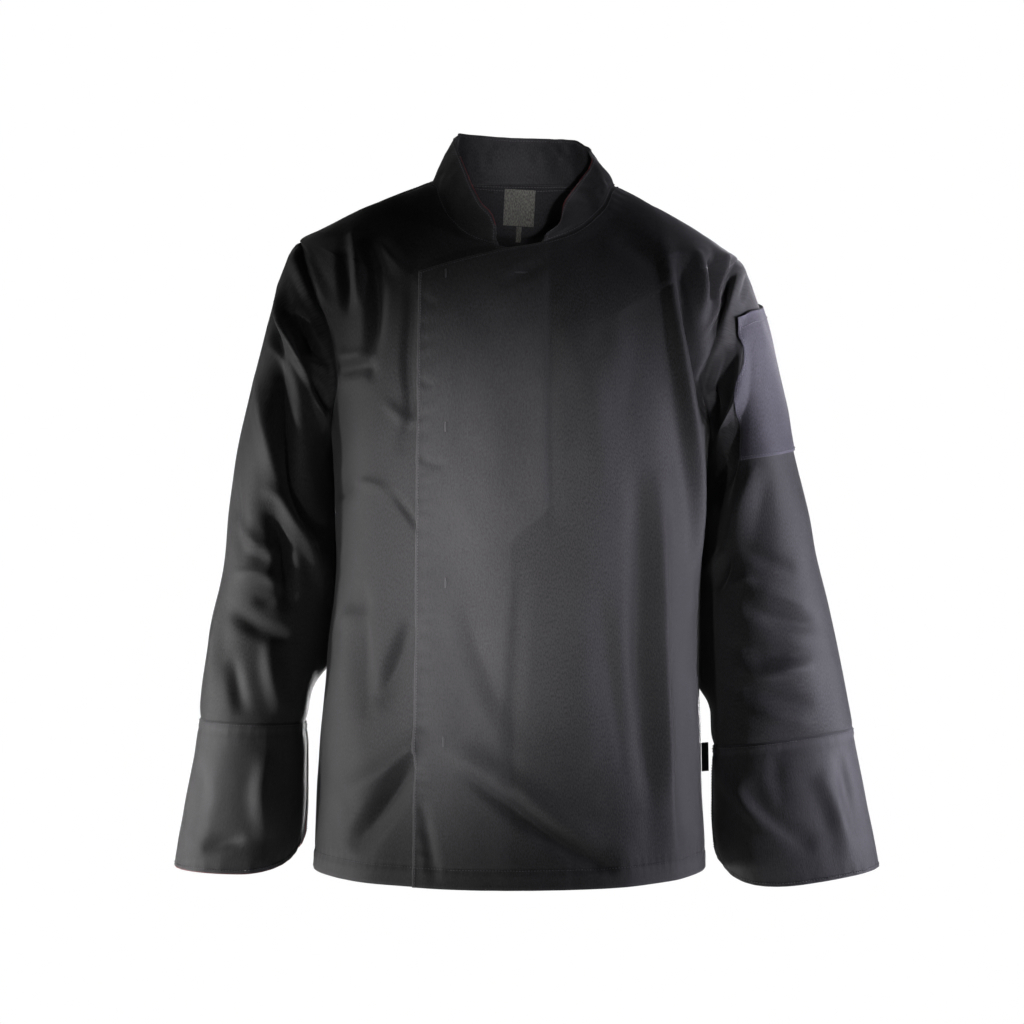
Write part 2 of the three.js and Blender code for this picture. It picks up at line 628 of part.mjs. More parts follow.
// Joins the slant of the walls round an armhole, front panel first and then the back
function mitreArmhole(sleeve, front, frontColumn, back, backColumn) {
  const ring = sleeve.normals[0];
  ring.forEach((normal, i) => {
    const onFront = i < ARMHOLE_STEPS;
    const row = SIDE_STEPS + (onFront ? ARMHOLE_STEPS - i : i - ARMHOLE_STEPS);
    const panel = onFront ? front.normals[row][frontColumn] : back.normals[row][backColumn];
    mitre(normal, panel);
  });
  const tip = SIDE_STEPS + ARMHOLE_STEPS;
  back.normals[tip][backColumn].copy(front.normals[tip][frontColumn]);
}

const sleeveGrids = {};
Object.entries(sleeves).forEach(([side, armhole]) => {
  const plain = sleeveGrid(side, armhole);
  const folded = layFolds(plain, { around: true, hollow: ringCentre(plain), sewn: { bottom: true, top: true } });
  folded.forEach((ring) => ring.forEach(clearOfBody));
  sleeveGrids[side] = folded;
  const seams = openSeams(openSeams(folded, { top: true }), { bottom: true }, HALF_SEAM + SLEEVE_HEAD_EASE);
  const sleeve = gridNormals(seams, true, ringCentre(seams));
  if (side === 'right') mitreArmhole(sleeve, panels.over, 2 * HALF_FRONT_STEPS, panels.back, 0);
  else mitreArmhole(sleeve, panels.under, 0, panels.back, BACK_STEPS);
  addPiece(`sleeve_${WEARER[side]}`, clothWall(sleeve), CLOTH_COLOURS.twill);
  const cuff = cuffGrid(side);
  const cuffFolded = layFolds(cuff, { hollow: ringCentre(cuff), sewn: { bottom: true } });
  const cuffWall = clothWall(gridNormals(cuffFolded, false, ringCentre(cuffFolded)), DOUBLED);
  addPiece(`cuff_${WEARER[side]}`, cuffWall, CLOTH_COLOURS.twill);
});
addPiece('front_over', clothWall(panels.over), CLOTH_COLOURS.twill);
addPiece('front_under', clothWall(panels.under), CLOTH_COLOURS.twill);
addPiece('back', clothWall(panels.back), CLOTH_COLOURS.twill);

// A point of the sleeve at a height, on one line of its grid or between two
function sleeveSpot({ grid, normals }, place, z) {
  const columns = grid[0].length;
  const onLine = (line) => {
    const c = (line + columns) % columns;
    let j = 0;
    while (j < grid.length - 2 && grid[j + 1][c].z > z) j += 1;
    const t = (grid[j][c].z - z) / (grid[j][c].z - grid[j + 1][c].z);
    return {
      point: grid[j][c].clone().lerp(grid[j + 1][c], t),
      normal: normals[j][c].clone().lerp(normals[j + 1][c], t),
    };
  };
  const before = onLine(Math.floor(place));
  const after = onLine(Math.floor(place) + 1);
  const t = place - Math.floor(place);
  return { point: before.point.lerp(after.point, t), normal: before.normal.lerp(after.normal, t).normalize() };
}

// The sleeve pocket lies on the sleeve, and its upper front corner stands off
function pocketGeometry() {
  const grid = sleeveGrids.right;
  const sleeve = gridNormals(grid, true, ringCentre(grid));
  const { lerp } = THREE.MathUtils;
  const rows = Array.from({ length: POCKET.up + 1 }, (_, j) => {
    const down = j / POCKET.up;
    return Array.from({ length: POCKET.across + 1 }, (__, i) => {
      const across = i / POCKET.across;
      const frontColumn = lerp(POCKET.front.topColumn, POCKET.front.bottomColumn, down);
      const backColumn = lerp(POCKET.back.topColumn, POCKET.back.bottomColumn, down);
      const frontZ = lerp(POCKET.front.topZ, POCKET.front.bottomZ, down);
      const backZ = lerp(POCKET.back.topZ, POCKET.back.bottomZ, down);
      const spot = sleeveSpot(sleeve, lerp(frontColumn, backColumn, across), lerp(frontZ, backZ, across));
      const lift = POCKET.lift * Math.max(0, 1 - 4 * down) * Math.max(0, 1 - 2.5 * across);
      return spot.point.addScaledVector(spot.normal, POCKET.wall + POCKET.gap + lift);
    });
  });
  const centre = new THREE.Vector3(240, 0, -240);
  return clothWall(gridNormals(rows, false, () => centre), POCKET.wall);
}
addPiece('sleeve_pocket', pocketGeometry(), CLOTH_COLOURS.pocket);

// Labels sewn inside the back of the neck follow its curve
function insideLabel({ left, right, top, bottom }, across, up) {
  const rows = Array.from({ length: up + 1 }, (_, j) => {
    const z = THREE.MathUtils.lerp(bottom, top, j / up);
    return Array.from({ length: across + 1 }, (__, i) => {
      const x = THREE.MathUtils.lerp(left, right, i / across);
      return bodySurface(patternPoint(x, z, true));
    });
  });
  return clothWall(gridNormals(rows, false, bodyAxis), LABEL_CLOTH, CLOTH + LABEL_GAP);
}
addPiece('neck_label', insideLabel(NECK_LABEL, 6, 5), CLOTH_COLOURS.label);
addPiece('size_tab', insideLabel(SIZE_TAB, 2, 2), CLOTH_COLOURS.tag);

// The small folded tag in the side seam on the wearer's left
function sideTag() {
  const { top, bottom, reach, wall, lean, clear } = SIDE_TAG;
  const geometry = new THREE.BoxGeometry(reach, wall, top - bottom, 3, 1, 4);
  geometry.translate(reach / 2, 0, 0);
  geometry.rotateZ(lean * RADIAN);
  const middle = (top + bottom) / 2;
  geometry.translate(bodyReach.right(middle) + clear, 0, middle);
  return geometry;
}
addPiece('side_tag', sideTag(), CLOTH_COLOURS.tag);

export default jacket;
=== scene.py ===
"""Chef jacket in black twill, standing hollow as it is worn: cloth, sewing, labels, stage and camera.

Tables and sizes are in millimetres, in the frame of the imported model: +Z up, the front faces -Y and the
wearer's left is +X. In the tables, left and right are as they are seen from the front. In the names of
nodes and pieces they are the wearer's. Meshes are in metres.
"""

import math

import bpy
import numpy as np
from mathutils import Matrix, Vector


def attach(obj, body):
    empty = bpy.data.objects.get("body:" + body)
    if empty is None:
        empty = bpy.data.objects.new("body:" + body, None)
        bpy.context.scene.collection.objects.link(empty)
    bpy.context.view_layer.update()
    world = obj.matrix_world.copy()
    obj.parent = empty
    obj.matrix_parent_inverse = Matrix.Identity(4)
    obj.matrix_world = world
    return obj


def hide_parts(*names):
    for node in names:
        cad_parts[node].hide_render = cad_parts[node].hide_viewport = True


bl_info = {
    "name": "Chef jacket",
    "version": (1, 0, 0),
    "blender": (4, 5, 0),
    "location": "View3D > Sidebar > Chef jacket",
    "description": "Builds a black chef jacket with its folds, stitches and labels",
    "category": "Object",
}

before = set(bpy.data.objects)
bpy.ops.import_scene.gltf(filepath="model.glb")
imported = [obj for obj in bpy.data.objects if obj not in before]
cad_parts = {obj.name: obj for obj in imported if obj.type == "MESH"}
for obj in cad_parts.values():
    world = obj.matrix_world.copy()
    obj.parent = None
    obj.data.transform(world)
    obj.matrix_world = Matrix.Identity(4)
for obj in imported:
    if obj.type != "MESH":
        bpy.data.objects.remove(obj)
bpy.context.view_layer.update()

MM = 0.001

# Steps of the grids that the pieces are worked out on
SIDE_STEPS = 120
ARMHOLE_STEPS = 64
SHOULDER_STEPS = 48
HALF_FRONT_STEPS = 64
BACK_STEPS = 150
COLLAR_STEPS = 30
SLEEVE_RINGS = 150
CUFF_RINGS = 44
CURVE_SAMPLES = 400
TINY = 1e-9  # the least length that a vector is divided by
NO_EDGE = 1000.0  # stands for the distance to an edge where there is none
ALL_EDGES = ("top", "bottom", "left", "right")

# Body
CORNERS = 0.84  # 1 is an oval section, less is squarer
AROUND = 130  # millimetres of cloth for each radian round the body
HEM = {"side": -722, "front": -727, "back": -723}
UNDERARM = -268
SHOULDER_TIP = {"left": -63, "right": -80}
NECK_POINT = {"left": 3, "right": -3}

BODY_SECTIONS = {
    "z": (8, 3, -3, -18, -35, -52, -66, -86, -120, -170, -230, -300, -400, -500, -600, -740),
    "left": (78, 93, 109, 145, 178, 209, 233, 239, 232, 216, 203, 196, 195, 202, 210, 217),
    "right": (76, 88, 99, 127, 159, 188, 209, 232, 230, 220, 207, 195, 191, 190, 192, 194),
    "front": (20, 30, 36, 47, 58, 69, 78, 90, 106, 121, 131, 137, 140, 141, 142, 143),
    "back": (59, 63, 67, 77, 86, 94, 99, 104, 110, 115, 117, 115, 111, 113, 120, 128),
}

# Cut lines as they are seen from the front, (x, z) from the middle of the body outwards
OVER_EDGE = {"hem_x": -108, "top_x": -103, "top_z": -104}
UNDER_EDGE = {"hem_x": 100, "top_x": 96, "top_z": -104}
NECKLINE = {
    "left": ((-24, -71), (-51, -62), (-74, -42), (-86, -18), (-91, -4)),
    "right": ((24, -72), (56, -60), (80, -40), (92, -20), (97, -9)),
}
BACK_NECK = ((120, 3), (180, 7), (240, 6))  # degrees round the body, height
ARMHOLE = {
    "left front": ((-191, -225), (-194, -178), (-213, -118), (-228, -77)),
    "right front": ((189, -222), (199, -179), (212, -130), (222, -94)),
    "left back": ((-190, -225), (-192, -178), (-212, -118), (-228, -77)),
    "right back": ((190, -222), (196, -179), (211, -130), (222, -94)),
}

# Collar: its top edge at each place along its base, from the wearer's right end to the left end
COLLAR_TOP = {
    "along": (0, 0.03, 0.06, 0.133, 0.25, 0.34, 0.495, 0.65, 0.733, 0.79, 0.853, 0.933, 0.97, 1),
    "x": (-26, -32, -41, -57, -71, -65, -5, 60, 76, 77, 60, 45, 41, 27),
    "y": (-81, -77, -67, -34, 10, 36, 54, 38, 16, -10, -34, -62, -72, -81),
    "z": (-57, -43, -32, 5, 48, 57, 55, 50, 37, 22, -9, -34, -51, -64),
}
COLLAR_BULGE = 2
# The collar's unevenness: its height, its swells as size across and along, share of the height and seed,
# and the share of the collar's height over which it starts
COLLAR_RUMPLE = {"height": 1.1, "swells": ((17, 46, 1, 51), (8, 12, 0.4, 52)), "start": 0.25}

# Sleeves: the point of each ring that is furthest from the body, the point nearest to it, and the reach in Y
SLEEVE_SECTIONS = {
    "left": {
        "out_x": (-233, -246, -257, -267, -278, -289, -300, -308, -313, -321, -329, -335, -339),
        "out_z": (-63, -82, -112, -152, -195, -240, -290, -345, -400, -445, -490, -530, -567),
        "in_x": (-200, -201, -202, -203, -204, -204, -203, -201, -201, -206, -212, -220, -227),
        "in_z": (-268, -271, -276, -283, -293, -308, -331, -366, -411, -451, -493, -533, -571),
        "front": (64, 68, 71, 73, 73, 72, 70, 67, 65, 63, 61, 59, 58),
        "back": (60, 66, 70, 72, 72, 71, 69, 67, 66, 63, 61, 59, 58),
    },
    "right": {
        "out_x": (228, 239, 249, 260, 269, 280, 291, 303, 314, 326, 337, 346, 353),
        "out_z": (-80, -97, -123, -158, -198, -246, -294, -345, -398, -445, -495, -540, -577),
        "in_x": (200, 201, 202, 203, 203, 203, 202, 200, 199, 199, 201, 203, 205),
        "in_z": (-268, -271, -276, -283, -293, -309, -333, -367, -414, -462, -513, -559, -597),
        "front": (64, 68, 71, 73, 73, 72, 70, 67, 64, 60, 55, 51, 48),
        "back": (60, 66, 70, 72, 72, 71, 69, 67, 64, 60, 55, 51, 48),
    },
}
SLEEVE_CORNERS = 0.92
SLEEVE_SPREAD = 1.15  # rings stand closer together near the armhole
ARMHOLE_SHAPE = 7 / 22  # share of the sleeve over which the armhole's own shape dies out
BODY_ROOM = {"top": 0.5, "full": 2.5, "over": 30}  # between sleeve and body, at the underarm and below it

CUFF_SECTIONS = {
    "left": {
        "out_x": (-339, -351, -364),
        "out_z": (-567.3, -645, -721),
        "in_x": (-227, -226, -231),
        "in_z": (-571.3, -648, -725),
        "front": (58, 59, 62),
        "back": (58, 59, 62),
    },
    "right": {
        "out_x": (353, 367, 382),
        "out_z": (-577.3, -650, -723),
        "in_x": (205, 204, 212),
        "in_z": (-597.3, -672, -748),
        "front": (48, 50, 53),
        "back": (48, 50, 53),
    },
}
CUFF_CORNER = {"share": 0.25, "rise": 0.4}  # of the columns on each side of the slit, and of the height
CUFF_SLIT = 2.2  # degrees on each side of the slit

# Sleeve pocket: heights of its corners and their places round the sleeve, where 20 columns are a whole turn
POCKET_COLUMNS = 20
POCKET = {
    "front": {"top_column": 3.6, "top_z": -150, "bottom_column": 6, "bottom_z": -296},
    "back": {"top_column": -1.8, "top_z": -123, "bottom_column": -1.4, "bottom_z": -280},
    "across": 66,
    "up": 72,
}
POCKET_BOW = ((0, 0.2, 0.6, 1), (0.05, 0.1, 0.75, 0.2))  # how its front edge wanders, down and across
POCKET_REST = 1.9  # from the sleeve to the pocket along its stitches
POCKET_FULL = 4.2  # and between them
POCKET_EDGE = 0.3  # share of its size over which it fills out
POCKET_LIFT = {"height": 7, "down": 4, "across": 2.5}  # of its open front corner, and how fast it dies out
POCKET_INSIDE = (240.0, 0, -240)  # a point inside the sleeve behind it

NECK_LABEL = {"left": -16, "right": 17, "top": 0.5, "bottom": -36, "steps": 12}
SIZE_TAB = {"left": -1, "right": 4, "top": -37, "bottom": -53, "steps": 6}
LABEL_FOLLOW = {"reach": 5, "x": 45, "z": -90}  # how closely they follow the back, and the part they follow
LABEL_AWAY = 1.6  # from the inside of the back
LABEL_TURN = 3.5  # degrees that they hang out of true
SIDE_TAG = {"top": -595, "bottom": -625, "reach": 9, "wall": 1.2, "lean": 35, "clear": 0.9}
SIDE_TAG_POINTS = {"bend": 9, "flat": 6, "up": 16}

# The under front lies behind the over front: where it is level with it, where it is full depth, and how deep
SINK = {"none": -172, "full": -118, "depth": 4.4}

# Folds as they are seen from the front or the back: the line that each follows, (x, z), its half width,
# its height, which is negative for a trough, and its lean, which narrows it on one side
FRONT_FOLDS = (
    # The over front
    (((148, -78), (154, -138), (162, -208), (171, -292), (179, -368), (186, -459)), 20, 10, 0.45),
    (((164, -80), (170, -146), (179, -206), (184, -262)), 15, -13, 0.2),
    (((137, -304), (141, -379), (142, -505), (151, -655), (158, -716)), 21, 9, -0.3),
    (((118, -300), (123, -390), (122, -510), (132, -650)), 22, -5.5, 0),
    (((-72, -588), (-30, -618), (26, -655), (84, -690)), 24, 6, 0.2),
    (((-58, -606), (-12, -642), (44, -684), (96, -712)), 18, -8, 0.3),
    (((30, -110), (30, -237), (31, -370)), 12, -3, 0.4),
    (((-2, -400), (-9, -540), (-10, -700)), 12, -2.4, 0.4),
    (((-22, -122), (0, -107), (26, -96)), 10, -2, 0),
    (((-103, -130), (-94, -136), (-84, -139)), 6, -1, 0.2),
    (((-104, -214), (-95, -221), (-86, -222)), 6, -1.2, 0.2),
    (((-104, -294), (-92, -301), (-74, -303)), 7, -1.7, 0.2),
    (((-100, -640), (-94, -680), (-86, -724)), 9, -3, 0.3),
    (((40, -150), (70, -230), (84, -330)), 30, 3, 0.2),
    (((78, -420), (92, -520), (104, -620)), 28, -3, -0.2),
    (((-60, -430), (-30, -520), (10, -590)), 30, -2.5, 0.2),
    (((184, -78), (187, -112), (190, -146)), 9, 7, 0.2),
    (((200, -78), (202, -105), (198, -134)), 9, -8, 0),
    (((100, -64), (128, -84), (150, -112)), 20, -3, 0),
    # The under front
    (((-106, -592), (-130, -630), (-156, -668), (-174, -694)), 20, -9, 0.2),
    (((-96, -570), (-130, -606), (-176, -640)), 22, 5, 0),
    (((-110, -453), (-127, -500), (-148, -548)), 20, -6, 0.2),
    (((-158, -421), (-161, -480), (-156, -561)), 20, -5, -0.2),
    (((-175, -60), (-167, -97), (-167, -138)), 9, 7, 0.2),
    (((-182, -76), (-181, -115), (-180, -146)), 9, -7, 0),
    (((-154, -78), (-150, -136), (-154, -196)), 13, -9, 0.2),
    (((-148, -66), (-134, -87), (-118, -105)), 16, 6, 0),
    (((-192, -190), (-176, -192), (-156, -188)), 9, 4, 0.3),
    (((-192, -206), (-176, -204), (-158, -202), (-150, -214)), 11, -5.5, 0.2),
    (((-112, -104), (-113, -146), (-117, -196), (-114, -240), (-113, -276)), 10, -4.2, 0.2),
    (((-140, -238), (-126, -252), (-108, -262)), 9, 3.2, 0.3),
    (((-108, -236), (-116, -262), (-124, -292)), 13, -2.4, 0.2),
    (((-194, -342), (-178, -330), (-166, -320)), 6, -3.2, 0.3),
    (((-132, -330), (-118, -348), (-104, -368)), 6, -3.2, 0.3),
    (((-168, -320), (-150, -322), (-134, -330)), 8, 2.5, 0),
    (((-196, -470), (-176, -458), (-150, -462)), 14, 3, 0.2),
    (((-200, -250), (-197, -350), (-202, -450)), 12, 4, 0),
    # The wearer's right sleeve
    (((-236, -78), (-220, -111), (-200, -146)), 18, 8, 0.1),
    (((-252, -104), (-249, -148), (-234, -184), (-212, -228), (-199, -275)), 9, 8, 0.3),
    (((-262, -118), (-258, -164), (-243, -190)), 9, -9, 0.2),
    (((-232, -146), (-218, -176), (-204, -194)), 12, -9, 0),
    (((-222, -192), (-210, -198), (-198, -201)), 6, 5, 0.2),
    (((-220, -206), (-211, -224), (-200, -246)), 9, -9, 0),
    (((-256, -178), (-246, -233), (-236, -315), (-218, -378)), 17, -12, 0.2),
    (((-272, -200), (-262, -260), (-250, -318)), 15, 6, -0.2),
    (((-268, -330), (-250, -334), (-236, -356), (-221, -386), (-207, -430)), 11, 8, 0.3),
    (((-262, -346), (-246, -386), (-240, -452)), 15, -11, 0.1),
    (((-306, -300), (-298, -350), (-286, -400)), 16, -5, 0.2),
    (((-302, -356), (-276, -382), (-246, -396)), 9, 4.5, 0.3),
    (((-286, -392), (-270, -398), (-254, -398)), 7, -4, 0.3),
    (((-296, -412), (-264, -414), (-240, -430)), 9, 5, -0.2),
    (((-276, -440), (-262, -444), (-248, -440)), 7, -3.5, 0.3),
    (((-300, -452), (-272, -470), (-238, -480)), 13, -6, 0),
    (((-316, -410), (-318, -470), (-322, -540)), 14, 4, 0),
    (((-262, -480), (-258, -520), (-250, -560)), 16, 5, 0.2),
    (((-300, -500), (-294, -530), (-286, -560)), 14, -4, 0),
    (((-330, -700), (-308, -693), (-284, -690)), 12, -5, 0.2),
    (((-262, -600), (-270, -640), (-264, -690)), 20, 5, 0.2),
    (((-340, -600), (-332, -640), (-340, -690)), 16, -3, 0),
    # The wearer's left sleeve
    (((206, -70), (204, -98), (206, -136)), 9, -9, 0),
    (((219, -74), (212, -98), (206, -122), (204, -142), (190, -166)), 7, 7, 0.2),
    (((226, -82), (216, -112), (210, -138), (196, -168)), 8, -9, 0),
    (((230, -84), (217, -138), (199, -182)), 16, 8, 0.2),
    (((240, -98), (232, -116), (224, -134)), 8, -4, 0),
    (((212, -180), (202, -222), (196, -262)), 17, -11, 0.1),
    (((228, -170), (224, -224), (217, -252), (202, -295), (188, -328)), 9, 9, 0.3),
    (((224, -250), (213, -298), (205, -344)), 14, -12, 0),
    (((240, -300), (228, -340), (220, -390)), 20, 6, 0.2),
    (((212, -388), (202, -405), (192, -424)), 8, 6, 0.3),
    (((219, -396), (210, -414), (204, -436)), 9, -7, 0),
    (((219, -428), (231, -421), (243, -424)), 6, 4, 0.3),
    (((226, -390), (250, -400), (286, -412)), 9, -3.2, 0.3),
    (((230, -430), (262, -436), (300, -448)), 11, 3, 0.3),
    (((226, -446), (262, -462), (316, -472)), 12, -4.5, 0.3),
    (((220, -506), (250, -518), (308, -512)), 11, 4.5, 0.3),
    (((214, -488), (254, -499), (306, -500)), 9, -4.5, 0.3),
    (((208, -534), (250, -540), (306, -552)), 9, -3.2, 0.3),
    (((240, -556), (268, -564), (300, -570)), 8, 2.5, 0.3),
    (((296, -250), (302, -320), (306, -390)), 18, 4, 0),
    (((212, -622), (240, -662), (292, -694)), 20, 3.6, 0.3),
    (((232, -636), (262, -672), (306, -702)), 17, -4, 0.2),
    (((270, -596), (266, -626), (274, -660)), 16, -1.2, 0.2),
    (((310, -620), (330, -660), (344, -710)), 22, 4, 0.2),
    (((330, -600), (340, -640), (350, -690)), 12, -3, 0),
)
BACK_FOLDS = (
    # The back
    (((-150, -84), (-156, -150), (-166, -240), (-176, -330)), 22, 9, -0.4),
    (((-170, -90), (-178, -160), (-186, -250)), 15, -11, 0),
    (((148, -90), (156, -160), (166, -250), (176, -330)), 22, 9, 0.4),
    (((168, -94), (176, -160), (184, -250)), 15, -11, 0),
    (((-124, -320), (-138, -450), (-146, -600), (-150, -730)), 34, 8, 0.2),
    (((-84, -380), (-98, -500), (-92, -620), (-98, -730)), 30, -6, 0.1),
    (((112, -340), (122, -470), (118, -610), (130, -730)), 34, 8, -0.2),
    (((70, -420), (84, -540), (76, -650), (86, -730)), 28, -6, 0),
    (((8, -400), (-4, -520), (6, -640), (-4, -730)), 36, -5, 0.1),
    (((-40, -460), (-46, -560), (-38, -660)), 26, 4, 0),
    (((36, -480), (44, -590), (36, -690)), 24, 4, 0),
    (((-60, -30), (-30, -44), (20, -46), (62, -34)), 14, -3, 0.3),
    (((-70, -56), (0, -74), (70, -60)), 26, 3, 0),
    (((-178, -236), (-140, -270), (-104, -350)), 18, 3, 0.3),
    (((176, -330), (136, -380), (104, -470)), 20, -3, 0.3),
    (((-182, -380), (-160, -404), (-140, -440)), 10, -4, 0.2),
    (((184, -360), (160, -392), (148, -436)), 11, -4, 0.2),
    (((-120, -160), (-100, -210), (-104, -280)), 26, -3, 0),
    (((110, -170), (96, -220), (100, -290)), 26, -3, 0),
    # The wearer's right sleeve
    (((-238, -84), (-222, -126), (-204, -168)), 16, 8, 0.2),
    (((-250, -120), (-242, -176), (-216, -236), (-202, -280)), 11, 8, 0.3),
    (((-262, -132), (-254, -186), (-232, -236)), 12, -10, 0.1),
    (((-252, -250), (-244, -310), (-226, -372)), 17, -10, 0.2),
    (((-276, -240), (-270, -310), (-256, -372)), 18, 6, 0),
    (((-302, -352), (-272, -380), (-236, -398)), 10, 5, 0.3),
    (((-292, -402), (-270, -408), (-250, -404)), 7, -3, 0.3),
    (((-304, -430), (-272, -428), (-238, -448)), 9, 4.5, -0.2),
    (((-300, -448), (-276, -470), (-246, -478)), 14, -6, 0.1),
    (((-304, -500), (-296, -530), (-280, -560)), 16, 4, 0),
    (((-320, -610), (-304, -660), (-312, -712)), 20, 5, 0.2),
    (((-268, -620), (-276, -668), (-270, -716)), 16, -5, 0),
    # The wearer's left sleeve
    (((232, -96), (220, -138), (204, -178)), 16, 8, 0.2),
    (((246, -130), (236, -186), (214, -240), (202, -282)), 11, 8, 0.3),
    (((256, -140), (248, -196), (226, -242)), 12, -10, 0.1),
    (((246, -260), (238, -320), (222, -380)), 17, -10, 0.2),
    (((272, -240), (276, -310), (264, -380)), 18, 6, 0),
    (((300, -366), (268, -398), (230, -414)), 10, 5, 0.3),
    (((298, -416), (274, -418), (254, -424)), 7, -3, 0.3),
    (((310, -452), (278, -446), (238, -470)), 9, 4.5, -0.2),
    (((308, -470), (280, -490), (244, -500)), 14, -6, 0.1),
    (((330, -510), (310, -540), (286, -570)), 16, 4, 0),
    (((346, -620), (330, -664), (340, -712)), 20, 5, 0.2),
    (((262, -640), (276, -684), (270, -730)), 16, -5, 0),
)
# Room between the fronts away from the free edge, where it starts and is full, and how far from the edge
# the over front starts to be uneven
LAP = {"depth": 3.4, "x": (-96, -60), "uneven": (0, 45)}
FOLD_SAMPLES = 40
FOLD_GAIN = {"front": 1.8, "back": 1.4}
FOLD_CRISP = 0.5  # how much of a fold's form comes to an edge along its line
FOLD_TAPER = 0.8  # power of the sine that thins out a fold towards its ends, and less is blunter
FACING_FULL = 0.65  # folds reach full height where the cloth turns this much to the viewer

# Unevenness of worn cloth: size of its swells in millimetres across and along, their height and their seed
SWELLS = (
    (70, 150, 1.8, 11),
    (34, 60, 0.8, 23),
    (14, 22, 0.22, 37),
)
LATTICE = 64  # random heights each way that the swells are drawn from
LATTICE_START = (31.3, 31.7)
PIECE_SHIFT = (517.0, 391.0)  # millimetres of unevenness between one seed and the next
CLOSING = 0.85  # share of the way from a sleeve's middle column to its join where unevenness starts to fade
DRAPE_SEED = {
    "over": 0, "under": 0, "back": 3, "sleeve left": 9, "sleeve right": 10, "cuff left": 11, "cuff right": 12
}
EDGE_SEED = {"over": 60, "under": 61, "back": 62, "free edge": 64, "cuff left": 74, "cuff right": 75}
CUFF_SHARE = 0.9  # of the folds' height and the unevenness that a cuff takes

TWILL_WALL = 1.1
DOUBLED_WALL = 2.2
LABEL_WALL = 0.5
HEM_BAND = 19  # from the hem to its line of stitches
EDGE_STITCH = 2.2  # from a finished edge to its line of stitches
NECK_STITCH = 3.5  # from the neck and the shoulder seams to their lines of stitches
INNER_STITCHES = (3.5, 9)  # lines of stitches inside the back's neck
POCKET_HEM = 12  # from the pocket's open edge to its line of stitches
EDGE_THREAD = 0.5  # radius of the dark red thread
COLLAR_THREAD = {"right": (0, 0.09), "left": (0.85, 1)}  # shares of the collar's rim that show it

# How a seam draws the cloth in: the depth and reach of its groove, the height, length, reach and start of
# its puckers and how they wander, how far from it the cloth lies calm, and what folds keep of their height
SEAM = {
    "groove": 1.1,
    "reach": 3.2,
    "pucker": 0.45,
    "length": 11,
    "fade": 14,
    "start": (1, 6),
    "wander": {"amount": 3, "size": 40, "seed": 5},
    "calm": 16,
    "folds": 0.35,
}
SOFTENING = 2  # rounds of easing the sharpest turns of a draped grid

# Line of stitches beside an edge: how far in it is, how much the doubled band stands out, the dent at the
# stitches, and the height, length and reach of the puckers that they draw
BANDS = {
    "hem": (HEM_BAND, 0.7, 0.7, 0.35, 9, 8),
    "free edge": (7, 0, 0.2, 0.55, 19, 8),
    "cuff seam": (10, 0.5, 0.6, 0.3, 10, 6),
    "cuff hem": (4, 0, 0.5, 0.4, 12, 7),
}
BAND_WANDER = {"amount": 2.4, "along": 26, "across": 60}
BAND_STEP = 4  # how far inside its stitches a band reaches its height
DENT_REACH = 3

# Sleeve head: how full it is, how far from its seam, where it starts and is full, and its share at the seam
CAP = {"height": 4.2, "at": 9, "none": -110, "full": -50, "start": 0.62}
# How a sleeve lies in behind the body's side: how far, the middle and width of it, the room that it keeps,
# how far across the sleeve and below the underarm it starts, and where it dies out on each side
TUCK = {"reach": 24, "middle": 36, "width": 34, "clear": 2, "across": (-5, 30), "below": (-12, 25)}
TUCK_FADE = {"left": (-500, -545), "right": (-525, -565)}

# Shape of a cloth edge: how far it rounds out and how deep it lies there, in shares of the wall
RIM = ((0.35, 0.12), (0.5, 0.5))
JOIN_REACH = 7  # rows or columns over which a seam's two edges come together
INSET_REACH = 60  # rows or columns in which a line beside an edge is looked for
CLOTH_MAP = "cloth"
WEAR_AND_LIGHT_ATTRIBUTE = "wear_and_painted_light"  # 1 where cloth is pale and 0 where it isn't: wear with a painted highlight along its finished edges, and painted light on the cuffs, the hem's band and the over front's facing

# One stitch along its own length: place from -1 to 1, share of its width, height over the cloth in widths
STITCH_RINGS = ((-1, 0.35, -0.5), (-0.6, 0.95, 0.35), (0, 1, 0.6), (0.6, 0.95, 0.35), (1, 0.35, -0.5))
STITCH_SIDES = 5
STITCH_SHARE = 0.74  # of the pitch that thread covers on the face
TUBE_SIDES = 6
# Bar tacks: x, z, length, width and turn of each, seen from the front
TACKS = (
    (-75, -107, 10, 2.2, 0),
    (-75, -263, 10, 2.2, 0),
    (-75, -420, 10, 2.2, 0),
    (-76, -579, 10, 2.2, 0),
    (0, -107, 16, 2.2, 90),
)
# Threads of a bar tack: their pitch in widths, and the two long ones: place, height and extra length
TACK = {"pitch": 0.9, "sides": (-0.3, 0.3), "over": 0.1, "longer": 1}

# Where cloth is paler: how far its edges reach, paled by wear with a painted highlight along them; then
# painted light on a cuff's band and the rest of it, on the hem's band, and on the facing of the over front,
# up to x at each height; edge is where a tone starts and is full
PALE_EDGE_REACH = 3.5
CUFF_PAINTED_LIGHT = {"width": 10, "tone": 1.0, "rest": 0.7, "edge": (-1, 1.5)}
HEM_PAINTED_LIGHT = {"tone": 0.4, "edge": (-0.5, 1.5)}
FACING_PAINTED_LIGHT = {"z": (-110, -342, -384, -720), "x": (29, 29, -9, -10), "tone": 0.42, "edge": (-2, 2)}

